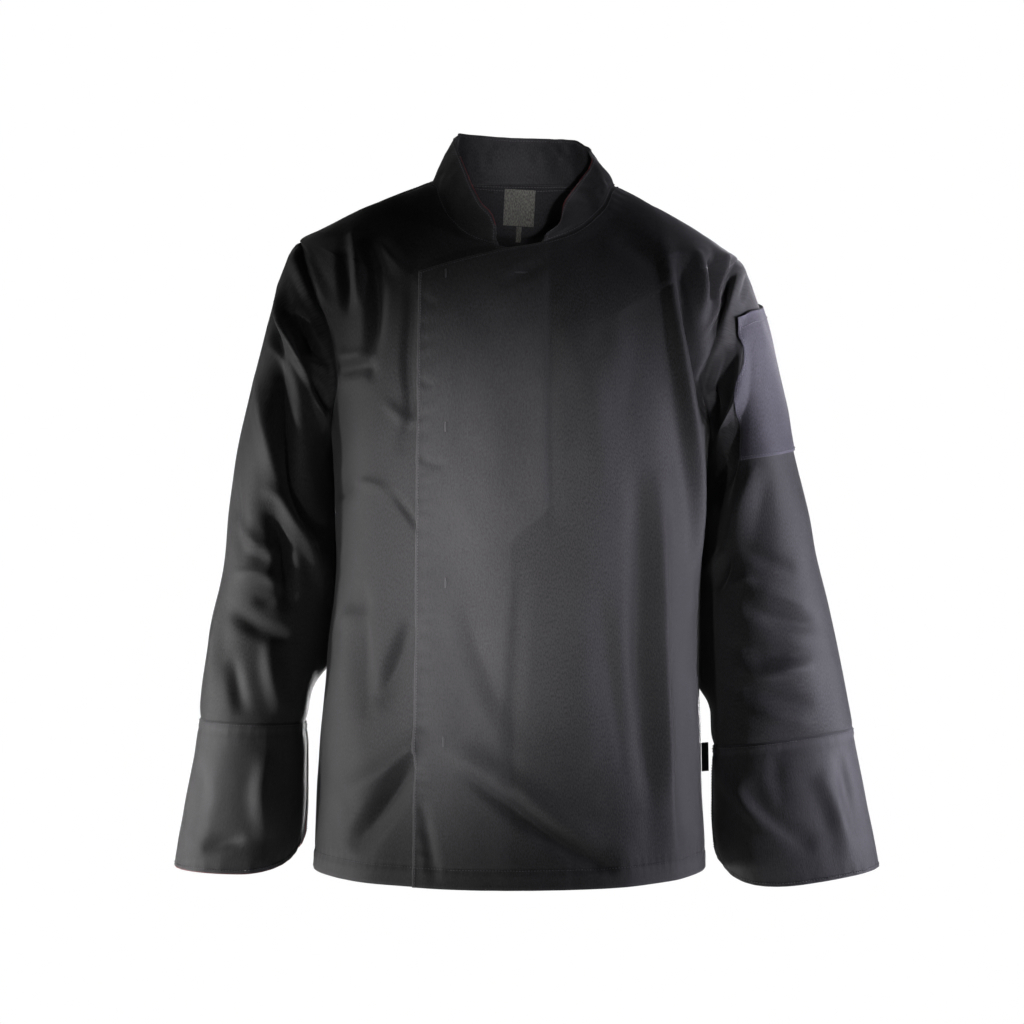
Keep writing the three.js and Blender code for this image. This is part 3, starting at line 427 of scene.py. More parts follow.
# Weave: spots of yarn, cloud and grain, as millimetres across and along and detail
YARN_SPOTS = (0.9, 14, 2.0)
CLOUD_SPOTS = (60, 110, 3.0)
GRAIN_SPOTS = (1, 3, 1.0)
CLOUD_TONE = 0.9  # how much of the range of shades the clouds take up, and the grain
GRAIN_TONE = 2.8
SHADES = (0.55, 1.55)  # darkest and palest yarns, in shares of the cloth's colour
WEAR_AND_LIGHT_SHADE = 1.6  # of yarns paled by wear and painted light, in the same shares, times how pale the cloth gets there
WEAR_AND_LIGHT_GAIN = 2.1  # how pale wear and painted light make the twill
ROUGH_RANGE = 0.16  # between the smoothest and the roughest yarns
LINE_RELIEF = 0.5  # of a twill line, in shares of a yarn's
WEAVE_BUMP = {"strength": 0.6, "depth": 0.22}
TWILL_TURN = 63  # degrees of the twill's diagonal
WAVE_UNIT = math.pi / 10  # a wave texture's scale for one line in each unit
# Twist of a thread: size of its spots, darkest and palest shade, strength and depth of its bump
TWIST = {"size": 0.5, "shades": (0.6, 1.4), "strength": 0.4, "depth": 0.1}

# How each piece of cloth is made: its node, the slot of its finish, its wall, its edges that wear and a
# painted highlight make pale, and its flat width, length and area as cut, in metres
CLOTH = {
    "over": ("front_over", "twill", DOUBLED_WALL, ("left", "bottom"), (0.40, 0.72), 0.25),
    "under": ("front_under", "twill", DOUBLED_WALL, ("right", "bottom"), (0.39, 0.72), 0.25),
    "back": ("back", "twill", TWILL_WALL, ("bottom",), (0.55, 0.80), 0.375),
    "collar": ("collar", "twill", DOUBLED_WALL, ("top", "left", "right"), (0.515, 0.05), 0.02),
    "sleeve left": ("sleeve_right", "twill", TWILL_WALL, (), (0.45, 0.45), 0.17),
    "sleeve right": ("sleeve_left", "twill", TWILL_WALL, (), (0.45, 0.45), 0.172),
    "cuff left": ("cuff_right", "twill", DOUBLED_WALL, ("top", "left", "right"), (0.42, 0.155), 0.058),
    "cuff right": ("cuff_left", "twill", DOUBLED_WALL, ("top", "left", "right"), (0.45, 0.15), 0.061),
    "pocket": ("sleeve_pocket", "pocket_twill", TWILL_WALL, ALL_EDGES, (0.145, 0.155), 0.0215),
    "label": ("neck_label", "label", LABEL_WALL, (), (0.033, 0.0365), None),
    "tab": ("size_tab", "label", LABEL_WALL, (), None, None),
    "tag": ("side_tag", "tag", LABEL_WALL, (), (0.018, 0.030), None),
}

# Stage, in metres. Each light has its place, the point that it faces, its width and height, its spread in
# degrees, which of the two strengths it takes and how many times over, and its colour
LIGHTS = {
    "side_light_left": (
        (-2.3, -0.1, -1.0), (0, 0, -0.5), (0.6, 0.8), 50, ("key", 4), (1, 0.99, 0.98),
    ),
    "side_light_right": (
        (2.3, -0.1, -0.8), (0, 0, -0.4), (0.6, 0.8), 50, ("key", 4), (0.87, 0.85, 1),
    ),
    "left_sleeve": (
        (-2.75, -0.85, -0.75), (-0.34, 0, -0.53), (0.2, 0.6), 9, ("key", 1.45), (1, 0.99, 0.98),
    ),
    "right_sleeve": (
        (2.75, -0.9, -0.55), (0.34, 0, -0.44), (0.2, 0.6), 9, ("key", 2.1), (0.88, 0.86, 1),
    ),
    "front_light": (
        (-1.5, -2.9, -0.8), (0.01, 0, -0.39), (0.17, 0.42), 6, ("front", 0.72), (1, 0.98, 1),
    ),
    "low_light": (
        (1.5, -2.9, -0.7), (0.04, 0, -0.37), (0.16, 0.36), 6, ("front", 0.18), (0.95, 0.94, 1),
    ),
    "shoulder_light": (
        (1.5, -2.8, -0.7), (0.285, -0.05, -0.15), (0.08, 0.16), 3.6, ("front", 0.42), (0.93, 0.9, 1),
    ),
    "back_light": (
        (0.7, 3.1, -0.5), (0, 0, -0.4), (0.5, 0.7), 14, ("front", 3), (1, 0.99, 1),
    ),
    "collar_light": (
        (0.3, -3.2, -0.35), (0.01, 0, 0.015), (0.12, 0.08), 3, ("front", 0.042), (0.95, 0.92, 1),
    ),
}
CAMERA = {"place": (-0.0085, -2.4, -0.35), "lens": 79.5, "sensor": 36}
# The floor glows a little, which keeps it pale under narrow lights
FLOOR = {"corners": 96, "colour": (0.8, 0.8, 0.8, 1), "roughness": 0.9, "glow": 0.35}
WORLD_LIGHT = 0.02


def smooth_column(at, value):
    """A smooth curve through a table's column that never swings past its rows."""
    at = np.array(at, float)
    value = np.array(value, float)
    if at[-1] < at[0]:
        at, value = at[::-1], value[::-1]
    rise = np.diff(value) / np.diff(at)
    product = rise[:-1] * rise[1:]
    total = rise[:-1] + rise[1:]
    inner = np.where(product > 0, 2 * product / np.where(total == 0, 1, total), 0)
    slope = np.concatenate([rise[:1], inner, rise[-1:]])

    def curve(place):
        place = np.clip(place, at[0], at[-1])
        i = np.clip(np.searchsorted(at, place) - 1, 0, len(at) - 2)
        span = at[i + 1] - at[i]
        t = (place - at[i]) / span
        t2, t3 = t**2, t**3
        return (
            (2 * t3 - 3 * t2 + 1) * value[i]
            + (t3 - 2 * t2 + t) * span * slope[i]
            + (3 * t2 - 2 * t3) * value[i + 1]
            + (t3 - t2) * span * slope[i + 1]
        )

    return curve


body_reach = {
    column: smooth_column(BODY_SECTIONS["z"], BODY_SECTIONS[column])
    for column in ("left", "right", "front", "back")
}


def signed_power(value, power):
    return np.sign(value) * np.abs(value) ** power


def smoothstep(value, low, high):
    t = np.clip((value - low) / (high - low), 0, 1)
    return t * t * (3 - 2 * t)


def body_point(turn, z):
    """Points of the body: turn is 0 at the front, a quarter turn at +X and half a turn at the back."""
    side = np.where(np.sin(turn) >= 0, body_reach["right"](z), body_reach["left"](z))
    depth = np.where(np.cos(turn) >= 0, body_reach["front"](z), body_reach["back"](z))
    x = side * signed_power(np.sin(turn), CORNERS)
    y = -depth * signed_power(np.cos(turn), CORNERS)
    return np.stack([x, y, z + 0 * x], -1)


def pattern_point(x, z, on_back=False):
    """A point of the pattern plane, where cut lines are drawn: millimetres of turn across and height up."""
    x, z = np.asarray(x, float), np.asarray(z, float)
    side = np.where(x >= 0, body_reach["right"](z), body_reach["left"](z))
    share = np.minimum(np.abs(x) / side, 1) ** (1 / CORNERS)
    turn = np.sign(x) * np.arcsin(share)
    return np.stack([AROUND * (math.pi - turn if on_back else turn), z], -1)


def body_surface(pattern):
    return body_point(pattern[..., 0] / AROUND, pattern[..., 1])


def hem_height(turn):
    facing = np.cos(turn)
    far = np.where(facing >= 0, HEM["front"], HEM["back"])
    return HEM["side"] + (far - HEM["side"]) * facing**2


def along_curve(points, steps):
    """Points at even steps along a smooth line through the given ones."""
    points = np.array(points, float)
    padded = np.concatenate([points[:1], points, points[-1:]])
    t = np.linspace(0, len(points) - 1, CURVE_SAMPLES)
    i = np.minimum(t.astype(int), len(points) - 2)
    w = (t - i)[:, None]
    p0, p1, p2, p3 = (padded[i + k] for k in range(4))
    v0, v1 = (p2 - p0) / 2, (p3 - p1) / 2
    line = (2 * p1 - 2 * p2 + v0 + v1) * w**3 + (3 * p2 - 3 * p1 - 2 * v0 - v1) * w**2 + v0 * w + p1
    return respaced(line, steps)


def respaced(line, steps):
    """The same line with even steps."""
    run = lengths_of(line)
    even = np.linspace(0, run[-1], steps + 1)
    return np.stack([np.interp(even, run, line[:, k]) for k in range(line.shape[1])], -1)


def lengths_of(points, axis=0):
    """Millimetres from the first points along an axis to each of the others."""
    steps = np.linalg.norm(np.diff(points, axis=axis), axis=-1)
    return np.concatenate([np.zeros_like(steps.take([0], axis)), np.cumsum(steps, axis)], axis)


def unit(vectors):
    """The same directions with a length of one."""
    return vectors / np.maximum(np.linalg.norm(vectors, axis=-1, keepdims=True), TINY)


def outer_line(side, on_back):
    """Side seam, armhole and shoulder seam in one line from hem to neck."""
    sign = -1 if side == "left" else 1
    turn = (3 if on_back and sign < 0 else sign) * math.pi / 2

    def seam(z):
        return np.array([AROUND * turn, z])

    rows = np.array(ARMHOLE[side + (" back" if on_back else " front")])
    armhole = list(pattern_point(rows[:, 0], rows[:, 1], on_back))
    underarm, tip = seam(UNDERARM), seam(SHOULDER_TIP[side])
    return np.concatenate([
        along_curve([seam(HEM["side"]), underarm], SIDE_STEPS),
        along_curve([underarm, *armhole, tip], ARMHOLE_STEPS)[1:],
        along_curve([tip, seam(NECK_POINT[side])], SHOULDER_STEPS)[1:],
    ])


def patch(bottom, top, left, right):
    """A patch of the pattern plane between four cut lines, as rows of points from hem to neck."""
    u = np.linspace(0, 1, len(bottom))[None, :, None]
    v = np.linspace(0, 1, len(left))[:, None, None]
    through = (1 - v) * bottom[None] + v * top[None]
    off_left = left[:, None] - (1 - v) * bottom[0] - v * top[0]
    off_right = right[:, None] - (1 - v) * bottom[-1] - v * top[-1]
    level = smoothstep(u, 0, 1)
    from_left = np.concatenate([(1 - u) ** 3, 1 - level], -1)
    from_right = np.concatenate([u**3, level], -1)
    return through + from_left * off_left + from_right * off_right


def front_top(edge, side):
    """Cut line from the top corner of a front along its slanted top edge, then round the neck."""
    rows = np.array(NECKLINE[side])
    neck = pattern_point(rows[:, 0], rows[:, 1])
    turn = -math.pi / 2 if side == "left" else math.pi / 2
    neck_point = np.array([AROUND * turn, NECK_POINT[side]])
    slant = along_curve([pattern_point(edge["top_x"], edge["top_z"]), neck[0]], HALF_FRONT_STEPS)
    return np.concatenate([slant, along_curve([*neck, neck_point], HALF_FRONT_STEPS)[1:]])


def front_edge(edge):
    """The free edge of a front hangs straight."""
    share = np.linspace(0, 1, SIDE_STEPS + ARMHOLE_STEPS + SHOULDER_STEPS + 1)
    hem = hem_height(pattern_point(edge["hem_x"], HEM["side"])[0] / AROUND)
    x = edge["hem_x"] + (edge["top_x"] - edge["hem_x"]) * share
    return pattern_point(x, hem + (edge["top_z"] - hem) * share)


def hem_line(from_turn, to_turn, steps):
    turn = np.linspace(from_turn, to_turn, steps + 1)
    return np.stack([AROUND * turn, hem_height(turn)], -1)


def grid_normals(grid, around, hollow):
    """Normals of a grid of points that face away from its hollow side."""
    if around:
        across = np.roll(grid, -1, 1) - np.roll(grid, 1, 1)
    else:
        across = np.gradient(grid, axis=1)
    normals = unit(np.cross(across, np.gradient(grid, axis=0)))
    outward = ((grid - hollow) * normals).sum() > 0
    return normals if outward else -normals


def body_axis(grid):
    return grid * (0, 0, 1)


def ring_centres(grid):
    return grid.mean(1, keepdims=True)


def fold_lift(points, normals):
    """How far the folds lift each point, seen from the side that each fold is on."""
    flat = points[..., (0, 2)].reshape(-1, 2)
    lift = np.zeros(len(flat))
    for folds, facing, gain in (
        (FRONT_FOLDS, -normals[..., 1].ravel(), FOLD_GAIN["front"]),
        (BACK_FOLDS, normals[..., 1].ravel(), FOLD_GAIN["back"]),
    ):
        turned = smoothstep(facing, 0, FACING_FULL)
        for path, width, height, lean in folds:
            line = along_curve(path, FOLD_SAMPLES)
            reach = 2 * width
            near = np.nonzero(
                (turned > 0)
                & (flat > line.min(0) - reach).all(1)
                & (flat < line.max(0) + reach).all(1)
            )[0]
            if not len(near):
                continue
            lift[near] += gain * height * turned[near] * fold_profile(flat[near], line, width, lean)
    return lift.reshape(points.shape[:-1])


def fold_profile(spots, line, width, lean):
    """1 on the fold's line and 0 past its width and its ends."""
    off = spots[:, None] - line[None]
    nearest = (off**2).sum(-1).argmin(1)
    along = unit(np.gradient(line, axis=0))
    run, gap = along[nearest], off[np.arange(len(spots)), nearest]
    side = gap[:, 0] * run[:, 1] - gap[:, 1] * run[:, 0]
    past = (gap * run).sum(1)
    share = side / (width * np.where(side > 0, 1 - lean, 1 + lean))
    off_line = np.clip(np.abs(share), 0, 1)
    across = np.cos(math.pi / 2 * off_line) ** 2 * (1 - FOLD_CRISP) + (1 - off_line) ** 2 * FOLD_CRISP
    taper = np.sin(math.pi * (nearest + 0.5) / len(line)) ** FOLD_TAPER
    return across * taper * np.exp(-((past / width) ** 2))


def swell(across, along, cell_across, cell_along, seed):
    """Soft random swells on a plane, from a lattice of random heights."""
    lattice = np.random.default_rng(seed).normal(size=(LATTICE, LATTICE))
    a, b = across / cell_across + LATTICE_START[0], along / cell_along + LATTICE_START[1]
    i, j = np.floor(a).astype(int), np.floor(b).astype(int)
    s, t = smoothstep(a - i, 0, 1), smoothstep(b - j, 0, 1)

    def at(di, dj):
        return lattice[(i + di) % LATTICE, (j + dj) % LATTICE]

    return (at(0, 0) * (1 - s) + at(1, 0) * s) * (1 - t) + (at(0, 1) * (1 - s) + at(1, 1) * s) * t


def unevenness(cloth):
    """Height of the cloth's own unevenness over flat cloth coordinates."""
    return sum(
        height * swell(cloth[..., 0], cloth[..., 1], across, along, seed)
        for across, along, height, seed in SWELLS
    )


def cloth_coordinates(grid):
    """Millimetres across and along the cloth at each point of a grid."""
    middle = grid[:, grid.shape[1] // 2]
    across = lengths_of(grid, 1)
    across -= across[:, across.shape[1] // 2, None]
    along = lengths_of(middle)[:, None] + 0 * across
    return np.stack([across, along], -1)


def softened(grid, rounds, around=False):
    """A grid with its sharpest turns eased, its edges left alone."""
    grid = grid.copy()
    for _ in range(rounds):
        if around:
            level = (np.roll(grid, 1, 1) + np.roll(grid, -1, 1)) / 2
            grid[1:-1] = grid[1:-1] / 2 + (level[1:-1] + (grid[:-2] + grid[2:]) / 2) / 4
        else:
            level = (grid[1:-1, :-2] + grid[1:-1, 2:] + grid[:-2, 1:-1] + grid[2:, 1:-1]) / 4
            grid[1:-1, 1:-1] = grid[1:-1, 1:-1] / 2 + level / 2
    return grid


def seam_distance(grid, sewn):
    """Millimetres from each point to the nearest edge in sewn."""
    up, over = lengths_of(grid), lengths_of(grid, 1)
    distances = {"bottom": up, "top": up[-1:] - up, "left": over, "right": over[:, -1:] - over}
    nearest = np.full(grid.shape[:2], NO_EDGE)
    for edge in sewn:
        nearest = np.minimum(nearest, distances[edge])
    return nearest


def drape(grid, around, hollow, sewn=(), share=1.0, seed=0, uneven=1.0):
    """Lays folds, unevenness and seam puckers into a grid."""
    normals = grid_normals(grid, around, hollow)
    distance = seam_distance(grid, sewn)
    cloth = cloth_coordinates(grid)
    calm = smoothstep(distance, 0, SEAM["calm"])
    lift = fold_lift(grid, normals) * (SEAM["folds"] + (1 - SEAM["folds"]) * calm) * share
    plain = unevenness(cloth + seed * np.array(PIECE_SHIFT))
    if around:
        way_round = np.abs(np.linspace(-1, 1, grid.shape[1], endpoint=False))
        plain = plain * (1 - smoothstep(way_round, CLOSING, 1))
    lift += plain * calm * share * uneven
    wander = SEAM["wander"]
    phase = wander["amount"] * swell(*cloth.T, wander["size"], wander["size"], wander["seed"]).T
    ripple = np.sin(2 * math.pi * (cloth.sum(-1) / SEAM["length"]) + phase)
    reach = np.exp(-((distance / SEAM["fade"]) ** 2))
    lift += SEAM["pucker"] * ripple * reach * smoothstep(distance, *SEAM["start"])
    lift -= SEAM["groove"] * np.exp(-((distance / SEAM["reach"]) ** 2))
    return softened(grid + normals * lift[..., None], SOFTENING, around)


def banded(grid, hollow, side, band, seed):
    """Shapes the doubled cloth and the puckers beside a finished edge."""
    place, rise, dent, height, length, reach = BANDS[band]
    distance = seam_distance(grid, (side,))
    along = cloth_coordinates(grid)[..., 0 if side in ("top", "bottom") else 1]
    wander = swell(along, distance, BAND_WANDER["along"], BAND_WANDER["across"], seed)
    ripple = np.sin(2 * math.pi * along / length + BAND_WANDER["amount"] * wander)
    past = distance - place
    lift = rise * smoothstep(-past, 0, BAND_STEP) - dent * np.exp(-((past / DENT_REACH) ** 2))
    lift += height * ripple * np.exp(-((past / reach) ** 2))
    return grid + grid_normals(grid, False, hollow) * lift[..., None]


def build_grids():
    """The draped grids of all the cloth pieces, in millimetres."""
    over_edge, under_edge = front_edge(OVER_EDGE), front_edge(UNDER_EDGE)
    quarter = math.pi / 2
    flat = {
        "over": body_surface(patch(
            hem_line(over_edge[0, 0] / AROUND, quarter, 2 * HALF_FRONT_STEPS),
            front_top(OVER_EDGE, "right"),
            over_edge,
            outer_line("right", False),
        )),
        "under": body_surface(patch(
            hem_line(-quarter, under_edge[0, 0] / AROUND, 2 * HALF_FRONT_STEPS),
            front_top(UNDER_EDGE, "left")[::-1],
            outer_line("left", False),
            under_edge,
        )),
    }
    back_neck = [
        (AROUND * quarter, NECK_POINT["right"]),
        *((AROUND * math.radians(turn), z) for turn, z in BACK_NECK),
        (AROUND * 3 * quarter, NECK_POINT["left"]),
    ]
    flat["back"] = body_surface(patch(
        hem_line(quarter, 3 * quarter, BACK_STEPS),
        along_curve(back_neck, BACK_STEPS),
        outer_line("right", True),
        outer_line("left", True),
    ))
    tip = SIDE_STEPS + ARMHOLE_STEPS

    def armhole_ring(front_column, back_column):
        front = front_column[SIDE_STEPS:tip + 1][::-1]
        return np.concatenate([front[:-1], back_column[SIDE_STEPS:tip]])

    free = smoothstep(seam_distance(flat["over"], ("left",)), *LAP["uneven"])
    hidden = smoothstep(flat["under"][..., 0], SINK["none"], SINK["full"])
    grids = {}
    for name, sewn, uneven in (
        ("over", ("right", "top"), free),
        ("under", ("left", "top"), 1 - hidden),
        ("back", ("left", "right", "top"), 1.0),
    ):
        draped = drape(flat[name], False, body_axis(flat[name]), sewn, seed=DRAPE_SEED[name], uneven=uneven)
        grids[name] = banded(draped, body_axis(draped), "bottom", "hem", EDGE_SEED[name])
    grids["over"] = banded(
        grids["over"], body_axis(grids["over"]), "left", "free edge", EDGE_SEED["free edge"]
    )
    over, under, back = grids["over"], grids["under"], grids["back"]
    depth = SINK["depth"] * hidden + LAP["depth"] * smoothstep(flat["under"][..., 0], *LAP["x"])
    under -= grid_normals(flat["under"], False, body_axis(flat["under"])) * depth[..., None]
    for part in (slice(0, SIDE_STEPS + 1), slice(tip, None)):
        sew(over, "right", back, "left", part)
        sew(under, "left", back, "right", part)
    grids["collar"] = collar_grid(over, under, back)
    armholes = {
        "right": armhole_ring(over[:, -1], back[:, 0]),
        "left": armhole_ring(under[:, 0], back[:, -1]),
    }
    for side, armhole in armholes.items():
        key = "sleeve " + side
        plain = sleeve_grid(side, armhole)
        sleeve = drape(plain, True, ring_centres(plain), ("bottom", "top"), seed=DRAPE_SEED[key])
        sleeve = tucked(clear_of_body(rounded_cap(sleeve)), side)
        pull_edge(sleeve, "bottom", armhole)
        grids[key] = sleeve
        key = "cuff " + side
        plain = cuff_grid(side)
        cuff = drape(plain, False, ring_centres(plain), ("bottom",), CUFF_SHARE, DRAPE_SEED[key])
        for edge, band in (("bottom", "cuff seam"), ("top", "cuff hem")):
            cuff = banded(cuff, ring_centres(cuff), edge, band, EDGE_SEED[key])
        grids[key] = cuff
    grids["pocket"] = pocket_grid(grids["sleeve right"])
    return grids


def collar_grid(over, under, back):
    """The collar stands on the neck edge of both fronts and the back."""
    base = np.concatenate([
        under[-1, :HALF_FRONT_STEPS + 1][::-1],
        back[-1, ::-1][1:-1],
        over[-1, HALF_FRONT_STEPS:][::-1],
    ])
    along = lengths_of(base) / lengths_of(base)[-1]
    top = np.stack([smooth_column(COLLAR_TOP["along"], COLLAR_TOP[axis])(along) for axis in "xyz"], -1)
    v = np.linspace(0, 1, COLLAR_STEPS + 1)[:, None, None]
    outward = unit(base * (1, 1, 0))
    grid = base + (top - base) * v + outward * COLLAR_BULGE * np.sin(math.pi * v)
    cloth = cloth_coordinates(grid)
    rumple = sum(
        share * COLLAR_RUMPLE["height"] * swell(cloth[..., 0], cloth[..., 1], size_across, size_along, seed)
        for size_across, size_along, share, seed in COLLAR_RUMPLE["swells"]
    )
    rumple *= smoothstep(v[..., 0], 0, COLLAR_RUMPLE["start"])
    return grid + grid_normals(grid, False, body_axis(grid)) * rumple[..., None]


def ring_point(section, angle):
    """Angle 0 is furthest from the body, a quarter turn is the front."""
    reach = signed_power(np.cos(angle), SLEEVE_CORNERS)
    depth = signed_power(np.sin(angle), SLEEVE_CORNERS)
    x = (section["out_x"] + section["in_x"] + reach * (section["out_x"] - section["in_x"])) / 2
    z = (section["out_z"] + section["in_z"] + reach * (section["out_z"] - section["in_z"])) / 2
    y = -depth * np.where(depth > 0, section["front"], section["back"])
    return np.stack([x, y, z], -1)


def sections_along(table, at):
    rows = np.linspace(0, 1, len(table["out_x"]))
    return {column: smooth_column(rows, values)(at) for column, values in table.items()}


def clear_of_body(grid):
    """Moves points off the side of the body where they would press on it."""
    x, y, z = grid[..., 0], grid[..., 1], grid[..., 2]
    side = np.where(x > 0, body_reach["right"](z), body_reach["left"](z))
    depth = np.where(y < 0, body_reach["front"](z), body_reach["back"](z))
    share = 1 - np.minimum(np.abs(y) / depth, 1) ** (2 / CORNERS)
    start = smoothstep(UNDERARM - z, 0, BODY_ROOM["over"])
    room = BODY_ROOM["top"] + (BODY_ROOM["full"] - BODY_ROOM["top"]) * start
    least = side * share ** (CORNERS / 2) + room
    moved = np.where((z <= UNDERARM) & (np.abs(x) < least), np.sign(x) * least, x)
    return np.stack([moved, y, z], -1)


def rounded_cap(grid):
    """Fills out the top of a sleeve just past its seam."""
    distance = seam_distance(grid, ("bottom",)) / CAP["at"]
    form = CAP["start"] * np.exp(-distance) + distance * np.exp(1 - distance)
    lift = CAP["height"] * smoothstep(grid[..., 2], CAP["none"], CAP["full"]) * form
    return grid + grid_normals(grid, True, ring_centres(grid)) * lift[..., None]


def tucked(grid, side):
    """Lays the inner back of a sleeve in behind the side of the body, as far down as the two touch."""
    x, y, z = grid[..., 0], grid[..., 1], grid[..., 2]
    centre = grid.mean(1)[:, None, 0]
    inner = smoothstep(np.abs(centre) - np.abs(x), *TUCK["across"])
    bump = np.exp(-(((y - TUCK["middle"]) / TUCK["width"]) ** 2))
    start, end = TUCK_FADE[side]
    height = smoothstep(UNDERARM - z, *TUCK["below"]) * smoothstep(z, end, start)
    moved = np.abs(x) - TUCK["reach"] * inner * bump * height
    reach = np.where(x > 0, body_reach["right"](z), body_reach["left"](z))
    share = 1 - np.minimum(np.abs(y) / body_reach["back"](z), 1) ** (2 / CORNERS)
    least = np.minimum(reach * share ** (CORNERS / 2) + TUCK["clear"], np.abs(x))
    return np.stack([np.sign(x) * np.maximum(moved, least), y, z], -1)


def sleeve_grid(side, armhole):
    columns = len(armhole)
    angles = 2 * math.pi * np.arange(columns) / columns
    place = np.linspace(0, 1, SLEEVE_RINGS + 1)[:, None]
    rings = ring_point(sections_along(SLEEVE_SECTIONS[side], place**SLEEVE_SPREAD), angles[None])
    memory = 1 - smoothstep(place, 0, ARMHOLE_SHAPE)
    return clear_of_body(rings + (armhole - rings[0])[None] * memory[..., None])


def cuff_grid(side):
    columns = 2 * ARMHOLE_STEPS
    across = np.linspace(0, 1, columns + 1)[None]
    from_slit = np.minimum(np.minimum(across, 1 - across) / CUFF_CORNER["share"], 1)
    rounded = 1 - np.sqrt(1 - (1 - from_slit) ** 2)
    at = np.linspace(0, 1, CUFF_RINGS + 1)[:, None] * (1 - CUFF_CORNER["rise"] * rounded)
    slit = math.radians(CUFF_SLIT)
    angle = math.pi + slit + (2 * math.pi - 2 * slit) * across
    return ring_point(sections_along(CUFF_SECTIONS[side], at), angle + 0 * at)


def on_grid(grid, column, z):
    """The points of a sleeve's grid at fractional columns and at heights, and the normals there."""
    normals = grid_normals(grid, True, ring_centres(grid))
    count = grid.shape[1]

    def on_line(line):
        heights = grid[:, line, 2]
        k = np.clip((heights > z).sum(0) - 1, 0, len(grid) - 2)
        t = ((grid[k, line, 2] - z) / (grid[k, line, 2] - grid[k + 1, line, 2]))[..., None]
        point = grid[k, line] * (1 - t) + grid[k + 1, line] * t
        return point, normals[k, line] * (1 - t) + normals[k + 1, line] * t

    low = np.floor(column).astype(int)
    t = (column - low)[..., None]
    first, second = on_line(low % count), on_line((low + 1) % count)
    point, normal = (a * (1 - t) + b * t for a, b in zip(first, second))
    return point, unit(normal)


def pocket_grid(sleeve):
    """The pocket lies on the sleeve: close to it along its stitches and full between them."""
    down = np.linspace(0, 1, POCKET["up"] + 1)[:, None]
    across = np.linspace(0, 1, POCKET["across"] + 1)[None]
    front, back = POCKET["front"], POCKET["back"]

    def blend(first, second, share):
        return first + (second - first) * share

    scale = sleeve.shape[1] / POCKET_COLUMNS
    column = scale * blend(
        blend(front["top_column"], front["bottom_column"], down) + smooth_column(*POCKET_BOW)(down),
        blend(back["top_column"], back["bottom_column"], down),
        across,
    )
    z = blend(
        blend(front["top_z"], front["bottom_z"], down), blend(back["top_z"], back["bottom_z"], down), across
    )
    point, normal = on_grid(sleeve, column, z)
    edge = np.minimum(np.minimum(across, 1 - across), 1 - down)
    full = POCKET_REST + (POCKET_FULL - POCKET_REST) * smoothstep(edge, 0, POCKET_EDGE)
    near_top = np.maximum(0, 1 - POCKET_LIFT["down"] * down)
    near_front = np.maximum(0, 1 - POCKET_LIFT["across"] * across)
    lift = POCKET_LIFT["height"] * near_top * near_front
    return point + normal * (full + lift)[..., None]


def edge_view(grid, side, reach):
    """Lines of points that run inwards from one edge of a grid."""
    views = {
        "left": grid[:, :reach],
        "right": grid[:, ::-1][:, :reach],
        "bottom": grid[:reach].swapaxes(0, 1),
        "top": grid[::-1][:reach].swapaxes(0, 1),
    }
    return views[side]


def pull_edge(grid, side, target, part=slice(None)):
    """Moves an edge to the target points, and lets the cloth beside it follow."""
    view = edge_view(grid, side, JOIN_REACH)[part]
    fade = (1 - np.arange(JOIN_REACH) / JOIN_REACH) ** 2
    view += (target - view[:, 0])[:, None] * fade[None, :, None]


def sew(first, first_side, second, second_side, part=slice(None)):
    """Brings the edges of two grids together along a seam."""
    middle = (
        edge_view(first, first_side, 1)[part][:, 0] + edge_view(second, second_side, 1)[part][:, 0]
    ) / 2
    pull_edge(first, first_side, middle, part)
    pull_edge(second, second_side, middle, part)


def inset_line(grid, side, distance, hollow, around=False):
    """The line on a grid at a distance from one of its edges, and the normals there."""
    normals = grid_normals(grid, around, hollow)
    far = min(INSET_REACH, min(grid.shape[:2]) - 1)
    lines, upward = edge_view(grid, side, far), edge_view(normals, side, far)
    run = lengths_of(lines, 1)
    k = np.clip((run < distance).sum(1) - 1, 0, far - 2)
    row = np.arange(len(run))
    t = ((distance - run[row, k]) / (run[row, k + 1] - run[row, k]))[:, None]
    point = lines[row, k] * (1 - t) + lines[row, k + 1] * t
    normal = upward[row, k] * (1 - t) + upward[row, k + 1] * t
    return point, unit(normal)


def padded_grid(grid, around, amount):
    """A grid with one more line of points past each open edge."""
    def past(edge, inner):
        return edge + unit(edge - inner) * amount

    grid = np.concatenate([past(grid[:1], grid[1:2]), grid, past(grid[-1:], grid[-2:-1])])
    if around:
        return grid
    left, right = past(grid[:, :1], grid[:, 1:2]), past(grid[:, -1:], grid[:, -2:-1])
    return np.concatenate([left, grid, right], 1)


